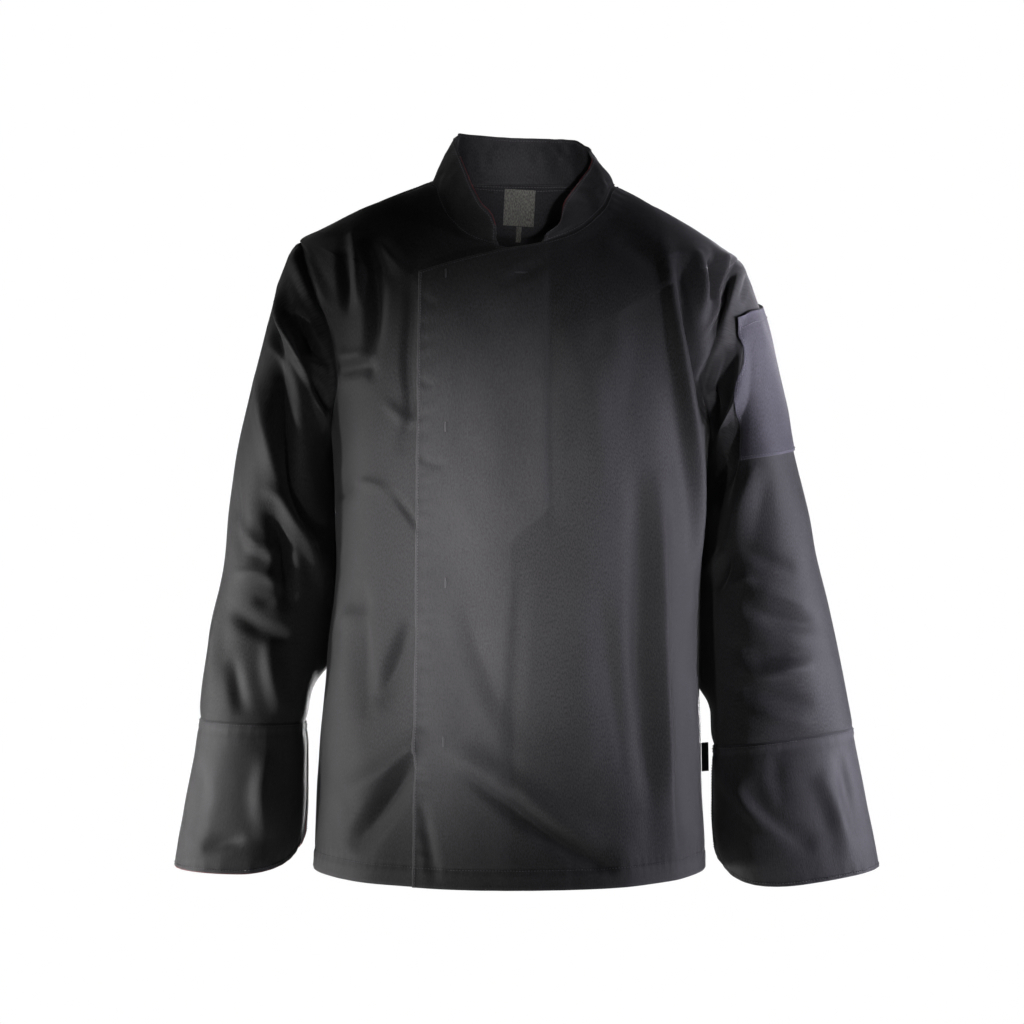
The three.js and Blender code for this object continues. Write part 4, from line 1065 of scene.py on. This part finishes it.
def add_cloth(name, grid, around, hollow, wall, wear_and_painted_light):
    """A closed shell of cloth under a grid of points, with rounded edges, as a Blender object."""
    normals = grid_normals(grid, around, hollow)
    cloth = cloth_coordinates(grid)
    pads = ((2, 2), (0, 0) if around else (2, 2), (0, 0))
    points = padded_grid(padded_grid(grid, around, RIM[0][0] * wall), around, (RIM[1][0] - RIM[0][0]) * wall)
    normals = np.pad(normals, pads, mode="edge")
    cloth = np.pad(cloth, pads, mode="edge")
    wear_and_painted_light = np.pad(wear_and_painted_light, pads[:2], mode="edge")
    depth = np.zeros(points.shape[:2])
    for ring, (_, share) in ((1, RIM[0]), (0, RIM[1])):
        last = -1 - ring
        depth[[ring, last]] = share * wall
        if not around:
            depth[ring:last, [ring, last]] = share * wall
            depth[last, [ring, last]] = share * wall
    outer = points - normals * depth[..., None]
    inner = points - normals * (wall - depth)[..., None]
    rows, columns = points.shape[:2]
    front = np.arange(rows * columns).reshape(rows, columns)
    back = front + rows * columns
    rim = np.zeros((rows, columns), bool)
    rim[[0, -1]] = True
    if not around:
        rim[:, [0, -1]] = True
    back = np.where(rim, front, back)
    uv = cloth * MM
    if around:
        girth = np.linalg.norm(grid[:, 0] - grid[:, -1], axis=-1)
        girth = np.pad(girth, 2, mode="edge")[:, None] * MM
        uv = np.concatenate([uv, uv[:, -1:] + np.stack([girth, 0 * girth], -1)], 1)
        front, back = (np.concatenate([side, side[:, :1]], 1) for side in (front, back))

    def squares(side):
        return np.stack([side[:-1, :-1], side[:-1, 1:], side[1:, 1:], side[1:, :-1]], -1).reshape(-1, 4)

    corner_uv = np.stack([uv[:-1, :-1], uv[:-1, 1:], uv[1:, 1:], uv[1:, :-1]], -2).reshape(-1, 4, 2)
    faces, lining = squares(front), squares(back)
    spots = outer.reshape(-1, 3)
    a, b, c = (spots[faces[:, k]] for k in (0, 1, 2))
    outward = (np.cross(b - a, c - a) * normals.reshape(-1, 3)[faces[:, 0]]).sum() > 0
    lining_uv = corner_uv
    if outward:
        lining, lining_uv = lining[:, ::-1], corner_uv[:, ::-1]
    else:
        faces, corner_uv = faces[:, ::-1], corner_uv[:, ::-1]
    faces = np.concatenate([faces, lining])
    used, inverse = np.unique(faces, return_inverse=True)
    vertices = np.concatenate([spots, inner.reshape(-1, 3)])[used]
    piece = add_mesh(name, vertices, inverse.reshape(faces.shape).tolist())
    layer = piece.data.uv_layers.new(name=CLOTH_MAP)
    layer.uv.foreach_set("vector", np.concatenate([corner_uv, lining_uv]).ravel().astype(np.float32))
    mark = piece.data.attributes.new(WEAR_AND_LIGHT_ATTRIBUTE, "FLOAT", "POINT")
    mark.data.foreach_set("value", np.concatenate([wear_and_painted_light.ravel(), wear_and_painted_light.ravel()])[used].astype(np.float32))
    return piece


def add_mesh(name, vertices, faces):
    """A mesh object from an array of vertices in millimetres and a list of faces."""
    mesh = bpy.data.meshes.new(name)
    mesh.from_pydata((vertices * MM).tolist(), [], faces)
    mesh.shade_smooth()
    piece = bpy.data.objects.new(name, mesh)
    bpy.context.scene.collection.objects.link(piece)
    return piece


def stitch_mesh(name, spots, runs, normals, lengths, width):
    """Many stitches in one mesh, each a short thread that dips into the cloth at both ends."""
    sides = np.cross(normals, runs)
    angle = 2 * math.pi * np.arange(STITCH_SIDES) / STITCH_SIDES
    rings = []
    for place, share, height in STITCH_RINGS:
        middle = spots + runs * (place * lengths / 2)[:, None] + normals * (height * width)
        around = (
            sides[:, None] * np.cos(angle)[None, :, None] + normals[:, None] * np.sin(angle)[None, :, None]
        )
        rings.append(middle[:, None] + around * (share * width / 2))
    points = np.stack(rings, 1)
    count, ring_count = points.shape[:2]
    number = np.arange(count * ring_count * STITCH_SIDES).reshape(count, ring_count, STITCH_SIDES)
    low, high = number[:, :-1], number[:, 1:]
    walls = np.stack([low, np.roll(low, -1, 2), np.roll(high, -1, 2), high], -1).reshape(-1, 4)
    ends = np.concatenate([number[:, 0, ::-1], number[:, -1]])
    return add_mesh(name, points.reshape(-1, 3), walls.tolist() + ends.tolist())


def along_line(line, normals, pitch):
    """Places for stitches along a line on the cloth: middles, directions, normals."""
    run = lengths_of(line)
    middles = np.arange(pitch / 2, run[-1], pitch)

    def at(place, values):
        return np.stack([np.interp(place, run, values[:, k]) for k in range(3)], -1)

    direction = unit(at(middles + pitch / 3, line) - at(middles - pitch / 3, line))
    normal = at(middles, normals)
    normal -= direction * (normal * direction).sum(1, keepdims=True)
    return at(middles, line), direction, unit(normal)


def sew_lines(name, lines, pitch, width):
    """One mesh of stitches along several lines, each a pair of points and normals."""
    found = [along_line(line, normals, pitch) for line, normals in lines]
    spots, runs, normals = (np.concatenate(column) for column in zip(*found))
    return stitch_mesh(name, spots, runs, normals, np.full(len(spots), pitch * STITCH_SHARE), width)


def tack_mesh(name, grid, hollow, tacks, width):
    """Bar tacks: close threads across a short bar, laid on a grid where it is seen from the front."""
    normals = grid_normals(grid, False, hollow).reshape(-1, 3)
    points = grid.reshape(-1, 3)
    spots, runs, facing, lengths = [], [], [], []
    for x, z, tall, wide, turn in tacks:
        here = ((points[:, 0] - x) ** 2 + (points[:, 2] - z) ** 2).argmin()
        normal, middle = normals[here], points[here]
        up = np.array([math.sin(math.radians(turn)), 0, math.cos(math.radians(turn))])
        up = unit(up - normal * (up @ normal))
        over = np.cross(up, normal)
        for k in np.arange(-tall / 2, tall / 2 + 0.01, width * TACK["pitch"]):
            spots.append(middle + up * k)
            runs.append(over)
            facing.append(normal)
            lengths.append(wide)
        for side in TACK["sides"]:
            spots.append(middle + over * wide * side + normal * TACK["over"])
            runs.append(up)
            facing.append(normal)
            lengths.append(tall + TACK["longer"])
    return stitch_mesh(name, *(np.array(x) for x in (spots, runs, facing, lengths)), width)


def tube_mesh(name, line, radius):
    """A closed thin tube along a line."""
    run = unit(np.gradient(line, axis=0))
    across = unit(np.cross(run, (0, 0, 1)))
    up = np.cross(across, run)
    angle = 2 * math.pi * np.arange(TUBE_SIDES) / TUBE_SIDES
    points = line[:, None] + radius * (
        across[:, None] * np.cos(angle)[None, :, None] + up[:, None] * np.sin(angle)[None, :, None]
    )
    number = np.arange(len(line) * TUBE_SIDES).reshape(-1, TUBE_SIDES)
    low, high = number[:-1], number[1:]
    walls = np.stack([low, high, np.roll(high, -1, 1), np.roll(low, -1, 1)], -1).reshape(-1, 4)
    caps = [number[0].tolist(), number[-1][::-1].tolist()]
    return add_mesh(name, points.reshape(-1, 3), walls.tolist() + caps)


def add_node(tree, kind, inputs=(), **settings):
    """A shader node with its settings, and its inputs given as values or as other nodes' outputs."""
    node = tree.nodes.new(kind)
    for key, value in settings.items():
        setattr(node, key, value)
    for key, value in dict(inputs).items():
        if isinstance(value, bpy.types.NodeSocket):
            tree.links.new(value, node.inputs[key])
        else:
            node.inputs[key].default_value = value
    return node


def shade(colour, amount):
    """A linear colour made lighter or darker, with alpha."""
    return (*(channel * amount for channel in colour), 1.0)


def new_material(name, constants):
    """A material, its node tree and its shader, with the shader's constants given by socket."""
    material = bpy.data.materials.new(name)
    material.use_nodes = True
    shader = material.node_tree.nodes["Principled BSDF"]
    for socket, value in constants.items():
        shader.inputs[socket].default_value = value
    return material, material.node_tree, shader


def cloth_noise(tree, place, across, along, detail):
    """Noise whose spots have a size in millimetres across and along the cloth."""
    scale = (1 / (across * MM), 1 / (along * MM), 1)
    spots = add_node(tree, "ShaderNodeMapping", {"Vector": place, "Scale": scale}).outputs["Vector"]
    noise = add_node(tree, "ShaderNodeTexNoise", {"Vector": spots, "Scale": 1.0, "Detail": detail})
    return noise.outputs["Fac"]


def calculated(tree, operation, *values):
    """The result of a Math node on values or other nodes' outputs."""
    inputs = dict(enumerate(values))
    return add_node(tree, "ShaderNodeMath", inputs, operation=operation).outputs[0]


def mixed(tree, share, first, second):
    """A colour between two others."""
    inputs = {"Factor": share, 6: first, 7: second}
    return add_node(tree, "ShaderNodeMix", inputs, data_type="RGBA").outputs[2]


def add_bump(tree, shader, height, strength, depth):
    """A bump of a depth in millimetres."""
    bump = add_node(tree, "ShaderNodeBump", {"Strength": strength, "Distance": depth * MM, "Height": height})
    tree.links.new(bump.outputs["Normal"], shader.inputs["Normal"])


def woven_material(name, colour, roughness, sheen, period, wear_and_light_gain=WEAR_AND_LIGHT_GAIN, ribs=False):
    """Woven cloth: diagonal twill lines or plain ribs, uneven yarns, cloudy fading, and yarns paled by wear
    and painted light.
    """
    material, tree, shader = new_material(name, {
        "Sheen Weight": sheen,
        "Sheen Roughness": 0.45,
        "Sheen Tint": (1, 1, 1, 1),
        "Specular IOR Level": 0.36,
    })
    place = add_node(tree, "ShaderNodeUVMap", uv_map=CLOTH_MAP).outputs["UV"]
    turned = add_node(tree, "ShaderNodeMapping", {
        "Vector": place,
        "Rotation": (0, 0, 0 if ribs else math.radians(TWILL_TURN)),
        "Scale": (1 / MM, 1 / MM, 1),
    }).outputs["Vector"]
    lines = add_node(tree, "ShaderNodeTexWave", {
        "Vector": turned,
        "Scale": WAVE_UNIT / period,
        "Distortion": 0.5,
        "Detail": 1.0,
        "Detail Scale": 2.0,
    }, bands_direction="Y" if ribs else "X").outputs["Fac"]
    yarn = cloth_noise(tree, place, *YARN_SPOTS)
    cloud = cloth_noise(tree, place, *CLOUD_SPOTS)
    grain = cloth_noise(tree, place, *GRAIN_SPOTS)
    wear_and_painted_light = add_node(tree, "ShaderNodeAttribute", attribute_name=WEAR_AND_LIGHT_ATTRIBUTE).outputs["Fac"]
    clouds = calculated(tree, "MULTIPLY_ADD", cloud, CLOUD_TONE, -CLOUD_TONE / 2)
    yarns = calculated(tree, "ADD", yarn, clouds)
    grains = calculated(tree, "MULTIPLY_ADD", grain, GRAIN_TONE, -GRAIN_TONE / 2)
    tone = calculated(tree, "ADD", yarns, grains)
    darkest, palest = (shade(colour, amount) for amount in SHADES)
    base = mixed(tree, tone, darkest, palest)
    # Yarns painted paler by wear and by painted light, where the mesh's mark says
    yarn_wear_and_light = calculated(tree, "MULTIPLY", wear_and_painted_light, yarn)
    wear_and_light_base = mixed(tree, yarn_wear_and_light, base, shade(colour, wear_and_light_gain * WEAR_AND_LIGHT_SHADE))
    tree.links.new(wear_and_light_base, shader.inputs["Base Color"])
    rough = calculated(tree, "MULTIPLY_ADD", yarn, ROUGH_RANGE, roughness - ROUGH_RANGE / 2)
    tree.links.new(rough, shader.inputs["Roughness"])
    ribbed = calculated(tree, "MULTIPLY_ADD", lines, LINE_RELIEF, yarn)
    height = calculated(tree, "ADD", grain, ribbed)
    add_bump(tree, shader, height, WEAVE_BUMP["strength"], WEAVE_BUMP["depth"])
    return material


def thread_material(name, colour):
    """Sewing thread, with a fine twist in its bump and colour."""
    material, tree, shader = new_material(name, {"Roughness": 0.5, "Sheen Weight": 0.2})
    place = add_node(tree, "ShaderNodeTexCoord").outputs["Object"]
    spots = {"Vector": place, "Scale": 1 / (TWIST["size"] * MM), "Detail": 1.0}
    twist = add_node(tree, "ShaderNodeTexNoise", spots).outputs["Fac"]
    darkest, palest = (shade(colour, amount) for amount in TWIST["shades"])
    tree.links.new(mixed(tree, twist, darkest, palest), shader.inputs["Base Color"])
    add_bump(tree, shader, twist, TWIST["strength"], TWIST["depth"])
    return material


def colour_property(name, description, default):
    return bpy.props.FloatVectorProperty(
        name=name, description=description, subtype="COLOR", size=3, min=0, max=1, default=default
    )


def length_property(name, description, default):
    return bpy.props.FloatProperty(
        name=name, description=description, unit="LENGTH", precision=5, min=0, default=default
    )


def share_property(name, description, default):
    return bpy.props.FloatProperty(
        name=name, description=description, subtype="FACTOR", min=0, max=1, default=default
    )


def power_property(name, description, default):
    return bpy.props.FloatProperty(name=name, description=description, unit="POWER", min=0, default=default)


class JacketCloth(bpy.types.PropertyGroup):
    """Colours and weave of the cloth."""

    twill: colour_property("Twill", "Colour of the jacket's twill", (0.022, 0.0215, 0.023))
    # Painted light: the pocket's colour is the twill's made paler and bluer, for the cool lamp on that side
    pocket: colour_property("Pocket", "Colour of the sleeve pocket", (0.028, 0.0265, 0.035))
    label: colour_property("Neck label", "Colour of the neck label and the size tab", (0.17, 0.17, 0.145))
    tag: colour_property("Side tag", "Colour of the ribbon in the side seam", (0.010, 0.010, 0.011))
    roughness: share_property("Roughness", "Roughness of the twill", 0.66)
    sheen: share_property("Sheen", "Soft shine of the twill's nap", 0.25)
    twill_line: length_property("Twill line", "Width of one diagonal line of the weave", 0.0009)


class JacketSewing(bpy.types.PropertyGroup):
    """Stitches and threads."""

    pitch: length_property("Stitch", "Length of one stitch with its gap", 0.003)
    width: length_property("Thread", "Width of the sewing thread", 0.00075)
    thread: colour_property("Thread colour", "Colour of the sewing thread", (0.075, 0.074, 0.08))
    edging: colour_property("Edge thread", "Colour of the thread on collar and cuff", (0.16, 0.02, 0.025))


class JacketStage(bpy.types.PropertyGroup):
    """Floor and light."""

    floor_height: bpy.props.FloatProperty(
        name="Floor", description="Height of the floor", unit="LENGTH", default=-1.36
    )
    floor_radius: length_property("Floor radius", "Reach of the floor", 1.6)
    key: power_property("Side lights", "Strength of the lights from the sides", 0.5)
    front: power_property("Front lights", "Strength of the lights from the front and the back", 0.6)


def settings(group):
    return getattr(bpy.context.scene, group)


MADE = {}  # grids and materials that several pieces share


def shared(name, make, *args):
    """Makes something on its first use and keeps it."""
    if name not in MADE:
        MADE[name] = make(*args)
    return MADE[name]


def grid_of(name):
    return shared("grids", build_grids)[name]


def thread():
    return shared("thread", thread_material, "black_thread", settings("jacket_sewing").thread)


def edging():
    return shared("edging", thread_material, "edge_thread", settings("jacket_sewing").edging)


def settle(piece, material, node=None, body="root"):
    """Gives a piece its finish and its body, and hides the node that it stands for."""
    piece.data.materials.append(material)
    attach(piece, body)
    if node:
        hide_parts(node)
    return piece


def stitches(name, lines):
    sewing = settings("jacket_sewing")
    piece = sew_lines(name, lines, sewing.pitch / MM, sewing.width / MM)
    return settle(piece, thread())


def is_around(key):
    return key.startswith("sleeve")


def hollow_of(key, grid):
    if key.startswith(("sleeve", "cuff")):
        return ring_centres(grid)
    if key == "pocket":
        return np.array(POCKET_INSIDE)
    if key == "tag":
        return grid.mean((0, 1))
    if key in ("label", "tab"):
        return grid + (0, 1, 0)
    return body_axis(grid)


def wear_and_light_tone(key, grid):
    """How pale each point is: finished edges with wear and a painted highlight, and painted light on the
    cuffs, the hem's band and the over front's facing.
    """
    tone = np.exp(-seam_distance(grid, CLOTH[key][3]) / PALE_EDGE_REACH)
    # Painted light: a cuff is painted paler, its band most of all
    if key.startswith("cuff"):
        inside = CUFF_PAINTED_LIGHT["width"] - seam_distance(grid, ("bottom",))
        tone = np.maximum(tone, CUFF_PAINTED_LIGHT["tone"] * smoothstep(inside, *CUFF_PAINTED_LIGHT["edge"]))
        tone = np.maximum(tone, CUFF_PAINTED_LIGHT["rest"])
    # Painted light: the hem's band is painted paler
    if key in ("over", "under", "back"):
        inside = HEM_BAND - seam_distance(grid, ("bottom",))
        tone = np.maximum(tone, HEM_PAINTED_LIGHT["tone"] * smoothstep(inside, *HEM_PAINTED_LIGHT["edge"]))
    # Painted light: the over front's facing is painted paler, up to its edge
    if key == "over":
        end = smooth_column(FACING_PAINTED_LIGHT["z"], FACING_PAINTED_LIGHT["x"])(grid[..., 2])
        tone = np.maximum(tone, FACING_PAINTED_LIGHT["tone"] * smoothstep(end - grid[..., 0], *FACING_PAINTED_LIGHT["edge"]))
    return tone


def make_cloth(key, with_pieces=()):
    """Makes one piece of cloth and gives it its finish."""
    node, slot, wall, _, flat, area = CLOTH[key]
    grid = grid_of(key)
    piece = add_cloth("cloth_" + node, grid, is_around(key), hollow_of(key, grid), wall, wear_and_light_tone(key, grid))
    settle(piece, cloth_material(slot), node)
    return piece


def cloth_material(slot):
    """The finish of a slot, from its name, colour, roughness, sheen and line, how pale wear and painted light
    make it, and ribs.
    """
    cloth = settings("jacket_cloth")
    line = cloth.twill_line / MM
    make = {
        "twill": ("black_twill", cloth.twill, cloth.roughness, cloth.sheen, line),
        # Painted light: the pocket's twill is a paler, bluer copy of the twill
        "pocket_twill": ("pocket_twill", cloth.pocket, cloth.roughness, cloth.sheen, line),
        "label": ("label_ribbon", cloth.label, 0.7, 0.3, 0.7, 1.2, True),
        "tag": ("tag_ribbon", cloth.tag, 0.45, 0.2, 0.7, 1.4, True),
    }
    return shared(slot, woven_material, *make[slot])


def stitch_line(key, side, distance, part=slice(None), inside=False):
    """A line for stitches beside an edge of a piece of cloth, on its outside or its inside."""
    grid = grid_of(key)
    points, normals = inset_line(grid, side, distance, hollow_of(key, grid), is_around(key))
    if inside:
        points, normals = points - normals * CLOTH[key][2], -normals
    return points[part], normals[part]


def rim_line(key, side):
    """The middle of the rounded edge of a piece of cloth."""
    grid, wall = grid_of(key), CLOTH[key][2]
    lines = edge_view(grid, side, 2)
    normals = edge_view(grid_normals(grid, False, hollow_of(key, grid)), side, 1)[:, 0]
    step = unit(lines[:, 0] - lines[:, 1])
    return lines[:, 0] + step * (wall / 2 + EDGE_THREAD / 2) - normals * wall / 2


def edge_thread(name, key, side, start=0, end=1):
    """The dark red thread along a piece's edge, between two shares of its length."""
    line = rim_line(key, side)
    piece = tube_mesh(name, line[round(start * len(line)) : round(end * len(line))], EDGE_THREAD)
    return settle(piece, edging())


def label_grid(size):
    """A label that hangs against the inside of the back."""
    back = grid_of("back").reshape(-1, 3)
    near = back[(np.abs(back[:, 0]) < LABEL_FOLLOW["x"]) & (back[:, 2] > LABEL_FOLLOW["z"])]
    x = np.linspace(size["left"], size["right"], size["steps"] + 1)[None]
    z = np.linspace(size["bottom"], size["top"], size["steps"] + 1)[:, None]
    x, z = x + 0 * z, z + 0 * x
    off = (near[:, 0] - x[..., None]) ** 2 + (near[:, 2] - z[..., None]) ** 2
    weight = np.exp(-off / LABEL_FOLLOW["reach"] ** 2)
    y = (weight * near[:, 1]).sum(-1) / weight.sum(-1)
    turn = math.radians(LABEL_TURN)
    return np.stack([
        x * math.cos(turn) + z * math.sin(turn),
        y - TWILL_WALL - LABEL_AWAY,
        z * math.cos(turn) - x * math.sin(turn),
    ], -1)


def tag_grid():
    """A short ribbon folded into a loop, its ends in the side seam."""
    reach, lean = SIDE_TAG["reach"], math.radians(SIDE_TAG["lean"])
    half = SIDE_TAG["wall"] / 2
    turn = np.linspace(-math.pi / 2, math.pi / 2, SIDE_TAG_POINTS["bend"])
    flat = np.linspace(0, reach - half, SIDE_TAG_POINTS["flat"])[:-1]
    back = np.linspace(reach - half, 0, SIDE_TAG_POINTS["flat"])[1:]
    out = np.concatenate([flat, reach - half + half * np.cos(turn), back])
    side = np.concatenate([np.full(len(flat), -half), half * np.sin(turn), np.full(len(back), half)])
    z = np.linspace(SIDE_TAG["bottom"], SIDE_TAG["top"], SIDE_TAG_POINTS["up"])[:, None]
    start = body_reach["right"](z) + SIDE_TAG["clear"]
    x = start + out * math.cos(lean) - side * math.sin(lean)
    y = out * math.sin(lean) + side * math.cos(lean) + 0 * z
    return np.stack([x, y, z + 0 * x], -1)


class JACKET_OT_fronts(bpy.types.Operator):
    """Makes the two overlapping fronts with their stitches and bar tacks"""

    bl_idname = "jacket.fronts"
    bl_label = "Fronts"

    def execute(self, context):
        slant, neck = slice(0, HALF_FRONT_STEPS + 1), slice(HALF_FRONT_STEPS, None)
        over = stitches("stitches_front_over", [
            stitch_line("over", "left", EDGE_STITCH),
            stitch_line("over", "top", EDGE_STITCH, slant),
            stitch_line("over", "top", NECK_STITCH, neck),
            stitch_line("over", "bottom", HEM_BAND),
        ])
        under = stitches("stitches_front_under", [
            stitch_line("under", "right", EDGE_STITCH),
            stitch_line("under", "top", NECK_STITCH, neck),
            stitch_line("under", "bottom", HEM_BAND),
        ])
        grid = grid_of("over")
        tacks = tack_mesh("bar_tacks", grid, body_axis(grid), TACKS, settings("jacket_sewing").width / MM)
        settle(tacks, thread())
        make_cloth("over", [over, tacks])
        make_cloth("under", [under])
        return {"FINISHED"}


class JACKET_OT_back(bpy.types.Operator):
    """Makes the back with its stitches"""

    bl_idname = "jacket.back"
    bl_label = "Back"

    def execute(self, context):
        tip = SIDE_STEPS + ARMHOLE_STEPS
        sewn = stitches("stitches_back", [
            stitch_line("back", "bottom", HEM_BAND),
            stitch_line("back", "top", NECK_STITCH),
            stitch_line("back", "left", NECK_STITCH, slice(tip, None)),
            stitch_line("back", "right", NECK_STITCH, slice(tip, None)),
            *(stitch_line("back", "top", distance, inside=True) for distance in INNER_STITCHES),
        ])
        make_cloth("back", [sewn])
        return {"FINISHED"}


class JACKET_OT_collar(bpy.types.Operator):
    """Makes the stand collar with its stitches and edge thread"""

    bl_idname = "jacket.collar"
    bl_label = "Collar"

    def execute(self, context):
        sewn = stitches("stitches_collar", [
            *(stitch_line("collar", "top", EDGE_STITCH, inside=inside) for inside in (False, True)),
            *(stitch_line("collar", side, EDGE_STITCH) for side in ("bottom", "left", "right")),
        ])
        threads = [
            edge_thread(f"edge_thread_collar_{side}", "collar", "top", *COLLAR_THREAD[side])
            for side in ("right", "left")
        ]
        make_cloth("collar", [sewn, *threads])
        return {"FINISHED"}


class JACKET_OT_sleeves(bpy.types.Operator):
    """Makes the two sleeves"""

    bl_idname = "jacket.sleeves"
    bl_label = "Sleeves"

    def execute(self, context):
        make_cloth("sleeve left")
        make_cloth("sleeve right")
        return {"FINISHED"}


class JACKET_OT_cuffs(bpy.types.Operator):
    """Makes the two split cuffs with their stitches"""

    bl_idname = "jacket.cuffs"
    bl_label = "Cuffs"

    def execute(self, context):
        for side in ("left", "right"):
            key = "cuff " + side
            node = CLOTH[key][0]
            lines = [stitch_line(key, edge, EDGE_STITCH) for edge in ALL_EDGES]
            parts = [stitches("stitches_" + node, lines)]
            if side == "left":
                parts.append(edge_thread("edge_thread_" + node, key, "top"))
            make_cloth(key, parts)
        return {"FINISHED"}


class JACKET_OT_pocket(bpy.types.Operator):
    """Makes the pen pocket on the sleeve with its stitches"""

    bl_idname = "jacket.pocket"
    bl_label = "Sleeve pocket"

    def execute(self, context):
        sewn = stitches("stitches_sleeve_pocket", [
            *(stitch_line("pocket", side, EDGE_STITCH) for side in ("left", "right", "top")),
            stitch_line("pocket", "bottom", POCKET_HEM),
        ])
        make_cloth("pocket", [sewn])
        return {"FINISHED"}


class JACKET_OT_labels(bpy.types.Operator):
    """Makes the bare neck label, the size tab under it and the loop in the side seam"""

    bl_idname = "jacket.labels"
    bl_label = "Labels"

    def execute(self, context):
        grids = shared("grids", build_grids)
        grids["label"] = label_grid(NECK_LABEL)
        grids["tab"] = label_grid(SIZE_TAB)
        grids["tag"] = tag_grid()
        make_cloth("label", [make_cloth("tab")])
        make_cloth("tag")
        return {"FINISHED"}


class JACKET_OT_stage(bpy.types.Operator):
    """Sets the floor, the lights, the background and the camera"""

    bl_idname = "jacket.stage"
    bl_label = "Stage"

    def execute(self, context):
        stage = settings("jacket_stage")
        bpy.ops.mesh.primitive_circle_add(
            vertices=FLOOR["corners"],
            radius=stage.floor_radius,
            fill_type="NGON",
            location=(0, 0, stage.floor_height),
        )
        floor = context.object
        floor.name = "floor"
        material, _, _ = new_material("floor", {
            "Base Color": FLOOR["colour"],
            "Roughness": FLOOR["roughness"],
            "Emission Color": (1, 1, 1, 1),
            "Emission Strength": FLOOR["glow"],
        })
        floor.data.materials.append(material)
        for name, (place, aim, size, spread, (strength, times), colour) in LIGHTS.items():
            add_light(name, place, aim, size, spread, getattr(stage, strength) * times, colour)
        world_light()
        set_camera()
        return {"FINISHED"}


def add_light(name, place, aim, size, spread, power, colour):
    """A soft light with its place, the point that it faces, its size and how far it spreads in degrees."""
    light = bpy.data.lights.new(name, "AREA")
    light.shape = "RECTANGLE"
    light.size, light.size_y = size
    light.energy = power
    light.color = colour
    light.spread = math.radians(spread)
    piece = bpy.data.objects.new(name, light)
    piece.location = place
    piece.rotation_euler = (Vector(aim) - Vector(place)).to_track_quat("-Z", "Y").to_euler()
    bpy.context.scene.collection.objects.link(piece)


def world_light():
    """A white background for the camera, and dim light from all round for the jacket."""
    world = bpy.data.worlds.new("studio")
    bpy.context.scene.world = world
    world.use_nodes = True
    tree = world.node_tree
    tree.nodes.clear()
    seen = add_node(tree, "ShaderNodeBackground", {"Color": (1, 1, 1, 1), "Strength": 1.0})
    lit = add_node(tree, "ShaderNodeBackground", {"Color": (1, 1, 1, 1), "Strength": WORLD_LIGHT})
    mix = add_node(tree, "ShaderNodeMixShader", {
        0: add_node(tree, "ShaderNodeLightPath").outputs["Is Camera Ray"],
        1: lit.outputs[0],
        2: seen.outputs[0],
    })
    add_node(tree, "ShaderNodeOutputWorld", {"Surface": mix.outputs[0]})


def set_camera():
    camera = bpy.data.cameras.new("camera")
    camera.lens, camera.sensor_width = CAMERA["lens"], CAMERA["sensor"]
    piece = bpy.data.objects.new("camera", camera)
    piece.location = CAMERA["place"]
    piece.rotation_euler = (math.pi / 2, 0, 0)
    scene = bpy.context.scene
    scene.collection.objects.link(piece)
    scene.camera = piece
    scene.view_settings.view_transform = "Standard"


class JACKET_PT_panel(bpy.types.Panel):
    """Lists the steps and the sizes that a user would change"""

    bl_idname = "JACKET_PT_panel"
    bl_label = "Chef jacket"
    bl_space_type = "VIEW_3D"
    bl_region_type = "UI"
    bl_category = "Chef jacket"

    def draw(self, context):
        for group in SETTINGS:
            for name in group.__annotations__:
                self.layout.prop(settings(GROUP_NAMES[group]), name)
        for operator in OPERATORS:
            self.layout.operator(operator.bl_idname)


GROUP_NAMES = {JacketCloth: "jacket_cloth", JacketSewing: "jacket_sewing", JacketStage: "jacket_stage"}
SETTINGS = tuple(GROUP_NAMES)
OPERATORS = (
    JACKET_OT_fronts,
    JACKET_OT_back,
    JACKET_OT_collar,
    JACKET_OT_sleeves,
    JACKET_OT_cuffs,
    JACKET_OT_pocket,
    JACKET_OT_labels,
    JACKET_OT_stage,
)
CLASSES = (*SETTINGS, *OPERATORS, JACKET_PT_panel)


def register():
    for cls in CLASSES:
        bpy.utils.register_class(cls)
    for group, name in GROUP_NAMES.items():
        setattr(bpy.types.Scene, name, bpy.props.PointerProperty(type=group))


def unregister():
    for name in GROUP_NAMES.values():
        delattr(bpy.types.Scene, name)
    for cls in reversed(CLASSES):
        bpy.utils.unregister_class(cls)


def main():
    register()
    for operator in OPERATORS:
        folder, name = operator.bl_idname.split(".")
        getattr(getattr(bpy.ops, folder), name)()


if __name__ == "__main__":
    main()
